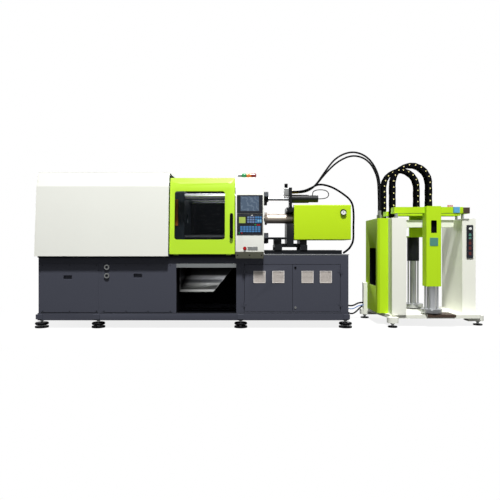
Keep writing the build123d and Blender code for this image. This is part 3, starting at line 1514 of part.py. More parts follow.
# Hoses and cables. Each route is a list of points; the tube rounds every corner between them.
conduit_radius = 14.0
lead_radius = 6.0
cable_radius = 11.0
blue_radius = 6.0
upper_hose_route = ((481, -110.5, 1745), (585, -110.5, 1745), (715, -108, 1835),
                    (830, -105, 2010), (985, -100, 2215), (1215, -96, 2300),
                    (1430, -92, 2210), (1560, -88, 1985), (1579, -86.5, 1740),
                    (1579, -86.5, 1500))
lower_hose_route = ((481, -62.5, 1745), (580, -62.5, 1745), (712, -60, 1828),
                    (850, -50, 2005), (1025, -38, 2175), (1235, -28, 2262),
                    (1440, -18, 2190), (1562, -10, 1980), (1579, -6.5, 1735),
                    (1579, -6.5, 1500))
conduit_route = ((393, -146, 1745), (520, -146, 1745), (640, -146, 1790),
                 (745, -146, 1850), (900, -146, 1820), (1050, -146, 1735),
                 (1192, -146, 1620), (1214, -142, 1450), (1208, -138, 1280),
                 (1210, -145, 1110), (1172, -175, 1028), (1112, -225, 968),
                 (1050, -280, 938))
lead_route = ((745, -86.5, 1657), (810, -86.5, 1657), (875, -86.5, 1675),
              (895, -86.5, 1722), (862, -86.5, 1768), (795, -86.5, 1780),
              (725, -86.5, 1776), (684, -86.5, 1758), (673, -86.5, 1728),
              (673, -86.5, 1704))
cable_upper_route = ((1068, 250, 235), (1130, 250, 235), (1197, 262, 198), (1262, 290, 180),
                     (1325, 320, 190), (1386, 345, 222), (1449, 345, 222))
cable_lower_route = ((1068, 305, 205), (1122, 305, 205), (1176, 312, 152), (1216, 323, 96),
                     (1258, 334, 66), (1308, 346, 64), (1356, 356, 92), (1402, 362, 140),
                     (1441, 365, 172))
cable_blue_route = ((1068, 222, 200), (1120, 222, 200), (1180, 230, 165), (1245, 252, 140),
                    (1312, 282, 146), (1395, 318, 190), (1449, 318, 190))


def cord_tube(name, route, radius):
    """Tube along straight runs joined by tangent arcs as large as the runs allow."""
    points = [Vector(*point) for point in route]
    runs = [b - a for a, b in zip(points, points[1:])]
    radii = []
    for before, after in zip(runs, runs[1:]):
        turn = radians(before.get_angle(after))
        radii.append(0.45 * min(before.length, after.length) / tan(turn / 2))
    with BuildLine() as path:
        FilletPolyline(*points, radius=radii)
    with BuildSketch(Plane(origin=points[0], z_dir=runs[0])) as profile:
        Circle(radius)
    part = sweep(profile.sketch, path=path.wire())
    swept = pi * radius ** 2 * path.wire().length
    print(name, "length", round(path.wire().length), "radii", [round(r) for r in radii],
          "volume", round(part.volume / swept, 4), "of section x length")


with BuildPart() as feed_hose_upper:
    cord_tube("feed_hose_upper", upper_hose_route, hose_radius)

with BuildPart() as feed_hose_lower:
    cord_tube("feed_hose_lower", lower_hose_route, hose_radius)

with BuildPart() as conduit:
    cord_tube("conduit", conduit_route, conduit_radius)

with BuildPart() as signal_lead:
    cord_tube("signal_lead", lead_route, lead_radius)

with BuildPart() as floor_cable_upper:
    cord_tube("floor_cable_upper", cable_upper_route, cable_radius)

with BuildPart() as floor_cable_lower:
    cord_tube("floor_cable_lower", cable_lower_route, cable_radius)

with BuildPart() as floor_cable_blue:
    cord_tube("floor_cable_blue", cable_blue_route, blue_radius)

pieces = {
    "bed_frame": bed_frame, "bed_panels": bed_panels, "levelling_feet": levelling_feet,
    "drop_chute": drop_chute, "door_left": door_left, "door_right": door_right,
    "lock_upper": lock_upper, "lock_lower": lock_lower, "cover_front": cover_front,
    "cover_rear": cover_rear, "cover_hood": cover_hood, "gate_front": gate_front,
    "gate_front_window": gate_front_window, "gate_front_handle": gate_front_handle,
    "gate_rear": gate_rear, "gate_rear_window": gate_rear_window,
    "guard_columns": guard_columns, "hmi_panels": hmi_panels, "screen": screen,
    "e_stop": e_stop, "button_start": button_start, "button_stop": button_stop,
    "signal_light": signal_light, "fixed_platen": fixed_platen,
    "moving_platen": moving_platen, "ejector_rod": ejector_rod, "clamp_block": clamp_block,
    "clamp_ram": clamp_ram, "tie_bars": tie_bars, "slide_rails": slide_rails,
    "carriage": carriage, "barrel": barrel, "injection_housing": injection_housing,
    "traverse_rods": traverse_rods, "traverse_cylinder": traverse_cylinder,
    "gauge": gauge, "gauge_needle": gauge_needle, "hose_fittings": hose_fittings,
    "hose_ports": hose_ports, "dosing_base": dosing_base, "dosing_cabinet": dosing_cabinet,
    "dosing_frame": dosing_frame, "control_strip": control_strip, "strip_knob": strip_knob,
    "strip_green": strip_green, "strip_red": strip_red, "front_beam": front_beam,
    "front_pump": front_pump, "rear_beam": rear_beam, "rear_pump": rear_pump,
    "chain_front": chain_front, "chain_rear": chain_rear, "feed_hose_upper": feed_hose_upper,
    "feed_hose_lower": feed_hose_lower, "conduit": conduit, "signal_lead": signal_lead,
    "floor_cable_upper": floor_cable_upper, "floor_cable_lower": floor_cable_lower,
    "floor_cable_blue": floor_cable_blue,
}
for node, piece in pieces.items():
    piece.part.label = node
    export_step(piece.part, f"parts/{node}.step")
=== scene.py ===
"""Injection moulding machine for liquid silicone, with its two-drum dosing unit: the looks.

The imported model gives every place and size. Lengths are metres and colours are sRGB hex.
"""
import json
from math import cos, pi, radians, sin

import bmesh
import bpy
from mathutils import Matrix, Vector

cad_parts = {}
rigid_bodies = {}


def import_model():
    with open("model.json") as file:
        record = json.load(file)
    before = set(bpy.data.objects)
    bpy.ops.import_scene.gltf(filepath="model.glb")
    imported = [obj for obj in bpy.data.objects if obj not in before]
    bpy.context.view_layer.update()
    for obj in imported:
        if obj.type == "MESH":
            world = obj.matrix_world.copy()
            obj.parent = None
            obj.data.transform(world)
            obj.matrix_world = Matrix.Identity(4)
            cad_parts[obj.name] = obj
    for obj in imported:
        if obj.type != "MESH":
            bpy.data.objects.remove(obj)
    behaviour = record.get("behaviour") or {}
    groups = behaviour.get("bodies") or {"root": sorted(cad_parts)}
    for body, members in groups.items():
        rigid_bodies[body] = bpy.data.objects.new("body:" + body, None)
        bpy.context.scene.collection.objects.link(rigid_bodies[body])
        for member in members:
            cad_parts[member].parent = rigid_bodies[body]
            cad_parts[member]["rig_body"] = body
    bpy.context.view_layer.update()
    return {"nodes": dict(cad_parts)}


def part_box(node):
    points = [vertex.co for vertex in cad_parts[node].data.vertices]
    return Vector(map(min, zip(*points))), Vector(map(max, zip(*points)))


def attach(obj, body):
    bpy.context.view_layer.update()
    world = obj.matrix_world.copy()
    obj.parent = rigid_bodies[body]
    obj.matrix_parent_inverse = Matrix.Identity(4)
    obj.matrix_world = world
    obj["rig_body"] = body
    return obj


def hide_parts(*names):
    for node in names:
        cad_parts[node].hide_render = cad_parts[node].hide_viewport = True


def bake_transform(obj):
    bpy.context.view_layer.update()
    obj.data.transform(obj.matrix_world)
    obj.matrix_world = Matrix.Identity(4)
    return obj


bl_info = {
    "name": "Injection moulding machine",
    "version": (1, 0, 0),
    "blender": (4, 5, 0),
    "location": "3D View > Sidebar > Machine",
    "description": "Dresses the packed moulding machine and its dosing unit",
    "category": "Object",
}

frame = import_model()
NODES = frame["nodes"]
BODY_OF = {name: node["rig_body"] for name, node in NODES.items()}
MIDDLE_Y = (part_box("bed_frame")[0].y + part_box("bed_frame")[1].y) / 2
FRONT = MIDDLE_Y - 0.55         # front face of the bed
BED_LEFT, BED_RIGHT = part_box("injection_housing")[1].x - 3.965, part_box("bed_frame")[1].x
DOSING_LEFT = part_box("dosing_cabinet")[0].x
SHADE_BELOW = 1.4               # the upper bars and rods are bright; the lower ones take a dark steel as painted shade


def linear(colour):
    """Linear red, green, blue and alpha of an sRGB hex colour."""
    parts = [int(colour[i:i + 2], 16) / 255 for i in (1, 3, 5)]
    return (*[c / 12.92 if c <= 0.04045 else ((c + 0.055) / 1.055) ** 2.4 for c in parts], 1.0)


def scaled(colour, share):
    """The colour with its light scaled."""
    return (*[c * share for c in colour[:3]], 1.0)


def add(tree, kind, inputs=None, **settings):
    """Adds a node to a tree: settings are its own, inputs are values or sockets to link."""
    made = tree.nodes.new(kind)
    for name, value in settings.items():
        setattr(made, name, value)
    for key, value in (inputs or {}).items():
        if isinstance(value, bpy.types.NodeSocket):
            tree.links.new(value, made.inputs[key])
        else:
            made.inputs[key].default_value = value
    return made


def maths(tree, operation, a, b):
    """Result of one arithmetic step."""
    return add(tree, "ShaderNodeMath", {0: a, 1: b}, operation=operation).outputs[0]


def between(tree, value, low, high, start=0.0, end=1.0, ease="LINEAR"):
    """Value moved from the range start to end into the range low to high."""
    return add(tree, "ShaderNodeMapRange", {
        "Value": value, "From Min": start, "From Max": end, "To Min": low, "To Max": high},
        interpolation_type=ease).outputs[0]


def noise(tree, place, scale, detail, roughness=0.5):
    """Value of a noise field at each place."""
    return add(tree, "ShaderNodeTexNoise", {"Vector": place, "Scale": scale, "Detail": detail,
                                            "Roughness": roughness}).outputs["Fac"]


def mixed(tree, share, low, high):
    """Colour between two colours."""
    return add(tree, "ShaderNodeMix", {0: share, 6: low, 7: high}, data_type="RGBA").outputs[2]


def bumps(tree, height, strength, distance):
    """Normal of a surface with that height field on it."""
    return add(tree, "ShaderNodeBump", {"Height": height, "Strength": strength,
                                        "Distance": distance}).outputs[0]


# Materials

def begin(name):
    """Empty node tree of a new material, and where its points lie on the piece."""
    material = bpy.data.materials.new(name)
    material.use_nodes = True
    tree = material.node_tree
    tree.nodes.clear()
    return tree, add(tree, "ShaderNodeTexCoord").outputs["Object"]


def close(tree, shader):
    """Links the shader to the material's output."""
    add(tree, "ShaderNodeOutputMaterial", {"Surface": shader.outputs[0]})


def principled(tree, colour, roughness, shine=0.5, **inputs):
    """Ends the material with a principled surface. shine is its specular level."""
    close(tree, add(tree, "ShaderNodeBsdfPrincipled", {
        "Base Color": colour, "Roughness": roughness, "Specular IOR Level": shine, **inputs}))


def powder_coat(tree, place, colour, roughness=0.38, shine=0.3, peel=0.0022, depth=0.00005):
    """Powder-coated steel: an even coat whose fine orange peel softens its highlights.

    Handling leaves it a little duller in wide soft patches.
    """
    patch = noise(tree, place, 2.2, 5.0, 0.62)
    principled(tree, mixed(tree, patch, scaled(colour, 0.955), colour),
               between(tree, patch, roughness - 0.05, roughness + 0.09), shine,
               Normal=bumps(tree, noise(tree, place, 1 / peel, 2.0), 0.35, depth))


def brushed_steel(tree, place, colour, roughness=0.32, along="X", grain=0.0012):
    """Stainless or ground steel: fine lines left by the belt, which stretch the highlights."""
    stretch = {"X": (0.03, 1, 1), "Y": (1, 0.03, 1), "Z": (1, 1, 0.03)}[along]
    run = add(tree, "ShaderNodeMapping", {"Vector": place, "Scale": stretch}).outputs[0]
    lines = noise(tree, run, 1 / grain, 3.0, 0.7)
    principled(tree, mixed(tree, lines, scaled(colour, 0.82), colour),
               between(tree, lines, roughness - 0.08, roughness + 0.1),
               Metallic=1.0, Normal=bumps(tree, lines, 0.25, 0.00003))


def display_glass(tree, place, colour):
    """Switched-off display: smooth glass with faint slanted reflections of the hall, painted
    into its colour.
    """
    slant = add(tree, "ShaderNodeMapping", {"Vector": place,
                                            "Rotation": (0.0, radians(40), 0.0)})
    bands = add(tree, "ShaderNodeTexWave", {"Vector": slant.outputs[0], "Scale": 5.0,
                                            "Distortion": 9.0, "Detail": 3.0,
                                            "Detail Scale": 3.0}).outputs["Fac"]
    faint = between(tree, bands, 0.0, 0.2, 0.72, 1.0)
    principled(tree, mixed(tree, faint, colour, linear("#9fb2c2")), 0.12, 0.3)


def chute_sheet(tree, place, dark, low, high):
    """Bright sheet of the chute: painted reflection bands of what it mirrors, with painted shade
    above them and fading into the bay at the left.

    The bands lie between two heights. The lip below them is dull and mirrors little.
    """
    axes = add(tree, "ShaderNodeSeparateXYZ", {0: place}).outputs
    height = between(tree, axes["Z"], 0.0, 1.0, low, high)
    bands = add(tree, "ShaderNodeValToRGB", {"Fac": height})
    stops = bands.color_ramp.elements
    stops[0].color, stops[1].color = linear("#84847e"), dark
    for share, colour in ((0.13, "#8b8d8a"), (0.17, "#f0f2f0"), (0.33, "#dfe0df"),
                          (0.38, "#6f7175"), (0.44, "#797b80"), (0.48, "#f1f3f8"),
                          (0.55, "#ececf0"), (0.6, "#3c3d40")):
        stops.new(share).color = linear(colour)
    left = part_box("drop_chute")[0].x
    fade = between(tree, axes["X"], 0.08, 1.0, left, left + 0.3)
    principled(tree, mixed(tree, fade, dark, bands.outputs[0]), 0.3, 0.1,
               Metallic=between(tree, height, 0.2, 1.0, 0.12, 0.18))


def hard_chrome(tree, place, colour):
    """Hard-chromed round bar: ground to a near mirror, with faint lines round the bar."""
    rings = noise(tree, place, 900.0, 1.0)
    principled(tree, colour, between(tree, rings, 0.1, 0.2), Metallic=1.0)


def cast_enamel(tree, place, colour, roughness=0.5):
    """Painted iron casting: a sand-cast skin shows through the coat as shallow dimples."""
    sand = noise(tree, place, 180.0, 4.0)
    principled(tree, mixed(tree, sand, scaled(colour, 0.8), colour), roughness, 0.2,
               Normal=bumps(tree, sand, 0.4, 0.0006))


def moulded_plastic(tree, place, colour, roughness=0.45, shine=0.25, texture=0.0009):
    """Injection-moulded plastic with a fine spark-eroded texture that breaks the gloss."""
    spark = add(tree, "ShaderNodeTexVoronoi", {"Vector": place, "Scale": 1 / texture})
    patch = noise(tree, place, 25.0, 3.0)
    principled(tree, mixed(tree, patch, scaled(colour, 0.88), colour), roughness,
               shine, Normal=bumps(tree, spark.outputs["Distance"], 0.3, 0.00006))


def lens_plastic(tree, place, colour):
    """Clear coloured lens of a signal light, ribbed inside so that it glints in fine lines."""
    ribs = add(tree, "ShaderNodeTexWave", {"Vector": place, "Scale": 130.0}).outputs["Fac"]
    principled(tree, colour, 0.12, Normal=bumps(tree, ribs, 0.3, 0.0008),
               **{"Coat Weight": 0.6})


def rubber_hose(tree, place, colour):
    """Smooth extruded rubber cover with a soft sheen and a little bloom on it."""
    bloom = noise(tree, place, 90.0, 4.0)
    principled(tree, mixed(tree, bloom, colour, scaled(colour, 1.8)), 0.42, 0.05,
               Normal=bumps(tree, bloom, 0.2, 0.0002))


def clear_sheet(tree, place, colour, alpha, shine):
    """Polycarbonate safety pane: thin and clear, a little grey, with a sharp reflection."""
    wipe = noise(tree, place, 6.0, 4.0)
    principled(tree, colour, between(tree, wipe, 0.03, 0.09), shine, Alpha=alpha)


# Each finish: its material's function and name, a colour setting or hex colour, and the
# function's other values.
FINISHES = {
    "cover": (powder_coat, "white_powder_coat", "cover"),
    "gate": (powder_coat, "lime_powder_coat", "gate", 0.3, 0.6),
    "housing": (powder_coat, "housing_powder_coat", "housing", 0.33),
    "dosing": (powder_coat, "dosing_powder_coat", "dosing", 0.45, 0.03),
    "portal": (powder_coat, "portal_powder_coat", "portal"),
    "bed": (powder_coat, "slate_powder_coat", "bed", 0.46, 0.12),
    "trim": (powder_coat, "black_powder_coat", "trim", 0.5, 0.12),
    "orange": (powder_coat, "orange_powder_coat", "orange"),
    # the cover coat darkened as painted shade on the column's down-slanted bottom face
    "cover_in_shade": (powder_coat, "column_foot_coat", "#c3c4ac", 0.5, 0.15),
    # near-black painted shade for insides, recesses and slots
    "shade": (powder_coat, "inner_black_coat", "#0d0e11", 0.7, 0.05),
    "teal": (powder_coat, "teal_plate", "#50897a"),
    "platen": (cast_enamel, "casting_enamel", "platen"),
    "motor": (cast_enamel, "motor_enamel", "#15171a", 0.42),
    "brown": (cast_enamel, "brown_enamel", "#4c3e35"),
    "steel": (brushed_steel, "ground_steel", "steel"),
    "heated": (brushed_steel, "heated_steel", "#c9bdb0", 0.5),
    # dark steel: painted shade on the lower bars and rods, and the colour of the tie bars' end
    # nuts
    "oiled": (brushed_steel, "oiled_steel", "#26282a", 0.5),
    "stainless": (brushed_steel, "stainless_sheet", "#8f9394", 0.42, "Z"),
    "zinc": (brushed_steel, "zinc_plated_steel", "#9a9c9b", 0.4, "Z"),
    "brass": (brushed_steel, "turned_brass", "brass", 0.3, "Y"),
    # bright steel strip along the deck's top edge, which also paints the edge's highlight
    "edge_strip": (brushed_steel, "deck_edge_strip", "#a5a7a8", 0.35),
    # painted reflection bands and painted shade on the chute; the hex colour is the shade's
    "chute": (chute_sheet, "chute_sheet", "#28282a", 0.405, 0.79),
    "chrome": (hard_chrome, "hard_chrome", "chrome"),
    "black": (moulded_plastic, "black_polyamide", "black", 0.6, 0.0),
    "pins": (moulded_plastic, "cream_acetal", "pins", 0.4),
    "keys": (moulded_plastic, "key_membrane", "keys", 0.5),
    "blue_keys": (moulded_plastic, "blue_membrane", "#4a80b4", 0.5),
    "pale_keys": (moulded_plastic, "pale_membrane", "#7fb9cf", 0.5),
    "lime_key": (moulded_plastic, "lime_membrane", "#aabf5a", 0.5),
    "bezel": (moulded_plastic, "bezel_abs", "bezel", 0.4),
    "vent": (moulded_plastic, "vent_abs", "#cbc3bc", 0.55),
    "vent_frame": (moulded_plastic, "vent_frame_abs", "#e2ddd8", 0.5),
    "dial": (moulded_plastic, "dial_enamel", "#f1f2ee", 0.3, 0.25, 0.004),
    "red": (moulded_plastic, "red_abs", "#b3141b", 0.3),
    "green": (moulded_plastic, "green_abs", "#16894a", 0.3),
    "white": (moulded_plastic, "white_abs", "#e4e6e3", 0.4),
    "blue_valve": (moulded_plastic, "blue_polyamide", "#62aad6", 0.4),
    "caps": (moulded_plastic, "orange_abs", "#c4571c", 0.45, 0.05),
    "brick": (moulded_plastic, "dark_red_abs", "#5c2a26", 0.4),
    # painted reflections on the switched-off screen
    "screen": (display_glass, "display_glass", "screen"),
    "pane": (clear_sheet, "polycarbonate_pane", "#14171a", 0.16, 0.05),
    # smoked pane, made near black as painted shade for the machine's dim inside
    "smoked": (clear_sheet, "smoked_pane", "#0b0c0e", 0.985, 0.08),
    "lens_red": (lens_plastic, "red_lens", "#7e1418"),
    "lens_orange": (lens_plastic, "orange_lens", "#d9771b"),
    "lens_green": (lens_plastic, "green_lens", "#1f8f4e"),
    "rubber": (rubber_hose, "foot_rubber", "#0f0f11"),
    "hose": (rubber_hose, "hose_rubber", "#141416"),
    "blue_hose": (rubber_hose, "blue_pvc", "#2a5f9e"),
}


def finish(name):
    """Material of a finish, made the first time that a piece asks for it."""
    make, label, colour, *values = FINISHES[name]
    if label not in bpy.data.materials:
        plain = linear(colour) if colour[0] == "#" else getattr(colours(), colour)
        make(*begin(label), plain, *values)
    return bpy.data.materials[label]


# Settings

def tint(name, description, colour):
    """Colour setting whose default is an sRGB hex colour."""
    return bpy.props.FloatVectorProperty(name=name, description=description, subtype="COLOR",
                                         size=4, min=0.0, max=1.0, default=linear(colour))


def metres(name, description, default):
    """Length setting in metres."""
    return bpy.props.FloatProperty(name=name, description=description, default=default,
                                   min=0.0, subtype="DISTANCE", unit="LENGTH")


class MachineColours(bpy.types.PropertyGroup):
    """Colours of the machine's coats, plastics and metals."""

    cover: tint("Cover", "White powder coat of the covers and the column", "#e4e5dd")
    gate: tint("Gate", "Lime coat of the guard gate", "#b0da1c")
    housing: tint("Housing", "Lime coat of the injection housing", "#bce11a")
    dosing: tint("Dosing", "Lime coat of the dosing unit", "#b9e226")
    portal: tint("Portal", "Off-white coat of the dosing unit's frame", "#f0f1e5")
    bed: tint("Bed", "Slate coat of the bed and its panels", "#454751")
    trim: tint("Trim", "Near-black coat of the window trim and rails", "#17191c")
    platen: tint("Platen", "Dark enamel of the castings", "#1f282f")
    orange: tint("Duct", "Orange coat of the platen's cable duct", "#b5651d")
    steel: tint("Steel", "Ground and stainless steel", "#b9bbbd")
    chrome: tint("Chrome", "Hard-chromed bars", "#d3d6d8")
    brass: tint("Brass", "Hose fittings", "#a8823f")
    black: tint("Black", "Moulded black plastic and cables", "#121215")
    pins: tint("Pins", "Caps on the drag-chain pins", "#e8dc9a")
    screen: tint("Screen", "Switched-off display", "#4a5b6f")
    keys: tint("Keys", "Grey-blue keys", "#6c83aa")
    bezel: tint("Bezel", "Dark frame of the screen and keys", "#1c1f27")


class MachineDetails(bpy.types.PropertyGroup):
    """Sizes of the small detail."""

    edge: metres("Edge", "Rounding of the sheet and plate edges", 0.0016)
    screw: metres("Screw", "Diameter of a panel screw's head", 0.012)
    rib: metres("Rib", "Pitch of the conduit's corrugations", 0.008)
    hose: metres("Hose", "Diameter of a feed hose", 0.024)
    conduit: metres("Conduit", "Diameter of the corrugated conduit", 0.028)
    cable: metres("Cable", "Diameter of a floor cable", 0.022)
    lead: metres("Lead", "Diameter of a signal lead", 0.012)


class MachineStage(bpy.types.PropertyGroup):
    """Camera and light."""

    distance: metres("Distance", "Camera in front of the bed's face", 6.0)
    height: metres("Height", "Camera above the floor", 1.0)
    focal: bpy.props.FloatProperty(name="Focal length", description="Lens in millimetres",
                                   default=34.56, min=10.0)
    lamp: bpy.props.FloatProperty(name="Lamps", description="Share of the lamps' plain level",
                                  default=1.0, min=0.0)


def colours():
    """The scene's colour settings."""
    return bpy.context.scene.machine_colours


def details():
    """The scene's sizes of small detail."""
    return bpy.context.scene.machine_details


# Pieces

# Widths of softened edges. A piece that names none takes the Edge setting.
KEEN, FINE, PANEL, BAR = 0.0004, 0.0006, 0.0008, 0.001


def in_scene(name, data):
    """New object of a mesh, curve, lamp or camera, in the scene."""
    made = bpy.data.objects.new(name, data)
    bpy.context.scene.collection.objects.link(made)
    return made


def on_body(name, mesh, body, *nodes):
    """Object of a finished mesh that moves with a body and stands for the CAD nodes."""
    piece = in_scene(name, mesh)
    if body:
        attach(piece, body)
    if nodes:
        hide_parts(*nodes)
    return piece


def skin(node, name, finishes, choose=None):
    """Mesh of a CAD node, its loose triangles merged and its flat faces joined up.

    choose gives the number of a face's finish from its centre and normal.
    """
    work = bmesh.new()
    work.from_mesh(NODES[node].data)
    bmesh.ops.remove_doubles(work, verts=work.verts, dist=1e-5)
    bmesh.ops.dissolve_limit(work, angle_limit=radians(0.4), verts=work.verts,
                             edges=work.edges)
    if choose:
        for face in work.faces:
            face.material_index = int(choose(face.calc_center_median(), face.normal))
    mesh = bpy.data.meshes.new(name)
    work.to_mesh(mesh)
    work.free()
    for paint in finishes:
        mesh.materials.append(finish(paint))
    return mesh


def dress(node, *finishes, choose=None, edge=None):
    """Softened copy of a CAD node; see skin for choose."""
    mesh = skin(node, node + "_skin", finishes, choose)
    mesh.shade_smooth()
    mesh.set_sharp_from_angle(angle=radians(32))
    piece = on_body(node + "_skin", mesh, BODY_OF[node], node)
    width = details().edge if edge is None else edge
    if width:
        bevel = piece.modifiers.new("softened_edges", "BEVEL")
        bevel.width, bevel.segments, bevel.harden_normals = width, 2, True
        bevel.limit_method, bevel.angle_limit = "ANGLE", radians(40)


def plain_mesh(piece):
    """Plain mesh of a piece with its modifiers, or of a curve; the piece itself goes."""
    bpy.context.view_layer.update()
    graph = bpy.context.evaluated_depsgraph_get()
    mesh = bpy.data.meshes.new_from_object(piece.evaluated_get(graph))
    bpy.data.objects.remove(piece)
    return mesh


# What repeats is grown by Geometry Nodes on a mesh of its places. A place has a turn.

def places(name, points, turns):
    """Mesh of loose points, each with the turn of the piece that stands there."""
    mesh = bpy.data.meshes.new(name)
    mesh.from_pydata([tuple(point) for point in points], [], [])
    layer = mesh.attributes.new("turn", "FLOAT_VECTOR", "POINT")
    for item, turn in zip(layer.data, turns):
        item.vector = turn
    return mesh


def growth_tree(name, sizes, shape):
    """Tree that sets one piece on every place. shape(tree, inputs) gives the piece's mesh."""
    tree = bpy.data.node_groups.new(name, "GeometryNodeTree")
    face = tree.interface.new_socket
    face(name="Places", in_out="INPUT", socket_type="NodeSocketGeometry")
    for label, value in sizes.items():
        face(name=label, in_out="INPUT", socket_type="NodeSocketFloat").default_value = value
    face(name="Finish", in_out="INPUT", socket_type="NodeSocketMaterial")
    face(name="Pieces", in_out="OUTPUT", socket_type="NodeSocketGeometry")
    inputs = tree.nodes.new("NodeGroupInput").outputs
    turn = add(tree, "GeometryNodeInputNamedAttribute", {"Name": "turn"},
               data_type="FLOAT_VECTOR")
    turned = add(tree, "FunctionNodeEulerToRotation", {0: turn.outputs[0]})
    spread = add(tree, "GeometryNodeInstanceOnPoints",
                 {"Points": inputs["Places"], "Instance": shape(tree, inputs),
                  "Rotation": turned.outputs[0]})
    real = add(tree, "GeometryNodeRealizeInstances", {"Geometry": spread.outputs[0]})
    dressed = add(tree, "GeometryNodeSetMaterial", {"Geometry": real.outputs[0],
                                                    "Material": inputs["Finish"]})
    add(tree, "NodeGroupOutput", {0: dressed.outputs[0]})
    return tree


def joined(tree, *parts):
    """The parts as one mesh."""
    both = add(tree, "GeometryNodeJoinGeometry")
    for part in parts:
        tree.links.new(part, both.inputs[0])
    return both.outputs[0]


def screw_shape(tree, inputs):
    """Round screw head with a sunk socket, its top along +Z."""
    head = add(tree, "GeometryNodeMeshCylinder", {
        "Vertices": 20, "Radius": maths(tree, "MULTIPLY", inputs["Diameter"], 0.5),
        "Depth": inputs["Height"]})
    rim = add(tree, "GeometryNodeExtrudeMesh", {
        "Mesh": head.outputs["Mesh"], "Selection": head.outputs["Top"], "Offset Scale": 0.0})
    socket = add(tree, "GeometryNodeScaleElements", {
        "Geometry": rim.outputs["Mesh"], "Selection": rim.outputs["Top"], "Scale": 0.55})
    sunk = add(tree, "GeometryNodeExtrudeMesh", {
        "Mesh": socket.outputs[0], "Selection": rim.outputs["Top"],
        "Offset Scale": maths(tree, "MULTIPLY", inputs["Height"], -0.6)})
    return sunk.outputs["Mesh"]


def plate_shape(tree, inputs):
    """Plate with rounded corners, Width along X, Height along Y, standing up along +Z."""
    outline = add(tree, "GeometryNodeCurvePrimitiveQuadrilateral",
                  {"Width": inputs["Width"], "Height": inputs["Height"]})
    rounded = add(tree, "GeometryNodeFilletCurve", {
        "Curve": outline.outputs[0], "Radius": inputs["Corner"]}, mode="POLY")
    rounded.inputs["Count"].default_value = 3
    flat = add(tree, "GeometryNodeFillCurve", {"Curve": rounded.outputs[0]}, mode="NGONS")
    solid = add(tree, "GeometryNodeExtrudeMesh", {
        "Mesh": flat.outputs[0], "Offset Scale": inputs["Thickness"]})
    back = add(tree, "GeometryNodeFlipFaces", {"Mesh": flat.outputs[0]})
    return joined(tree, solid.outputs["Mesh"], back.outputs[0])


def disc_shape(tree, inputs):
    """Thick disc with a bulging rim, its middle line along +Z."""
    circle = add(tree, "GeometryNodeCurvePrimitiveCircle", {"Resolution": 40,
                                                            "Radius": inputs["Radius"]})
    rim = add(tree, "GeometryNodeCurvePrimitiveCircle", {"Resolution": 12,
                                                         "Radius": inputs["Bulge"]})
    ring = add(tree, "GeometryNodeCurveToMesh", {"Curve": circle.outputs[0],
                                                 "Profile Curve": rim.outputs[0]})
    core = add(tree, "GeometryNodeMeshCylinder", {
        "Vertices": 40, "Radius": inputs["Radius"],
        "Depth": maths(tree, "MULTIPLY", inputs["Bulge"], 2.0)})
    return joined(tree, ring.outputs[0], core.outputs["Mesh"])


TREES = {"screws": (screw_shape, {"Diameter": 0.012, "Height": 0.006}),
         "plates": (plate_shape, {"Width": 0.02, "Height": 0.02, "Corner": 0.002,
                                  "Thickness": 0.002}),
         "discs": (disc_shape, {"Radius": 0.06, "Bulge": 0.01})}


def grow(name, kind, points, turn, body, paint, **sizes):
    """Grows one kind of piece on its places, as a plain mesh that rides on a body.

    turn is one turn for all of them, or a list with a turn for each.
    """
    if kind not in bpy.data.node_groups:
        shape, plain = TREES[kind]
        growth_tree(kind, plain, shape)
    tree = bpy.data.node_groups[kind]
    turns = turn if isinstance(turn, list) else [turn] * len(points)
    piece = in_scene(name, places(name + "_places", points, turns))
    growth = piece.modifiers.new("growth", "NODES")
    growth.node_group = tree
    for socket in tree.interface.items_tree:
        if socket.in_out == "INPUT" and socket.name in sizes:
            growth[socket.identifier] = sizes[socket.name]
        if socket.name == "Finish":
            growth[socket.identifier] = finish(paint)
    mesh = plain_mesh(piece)
    mesh.name = name
    return on_body(name, mesh, body)


FRONTWARD = (radians(90), 0.0, 0.0)     # turns a piece's top from +Z to -Y
UPWARD = (0.0, 0.0, 0.0)
RIGHTWARD = (0.0, radians(90), 0.0)


# Stage

def soft_lamp(name, place, target, size, power):
    """Square softbox that looks at a target."""
    lamp = bpy.data.lights.new(name, "AREA")
    lamp.shape, lamp.size, lamp.energy = "SQUARE", size, power
    holder = in_scene(name, lamp)
    holder.location = place
    holder.rotation_mode = "QUATERNION"
    holder.rotation_quaternion = (Vector(target) - Vector(place)).to_track_quat("-Z", "Y")


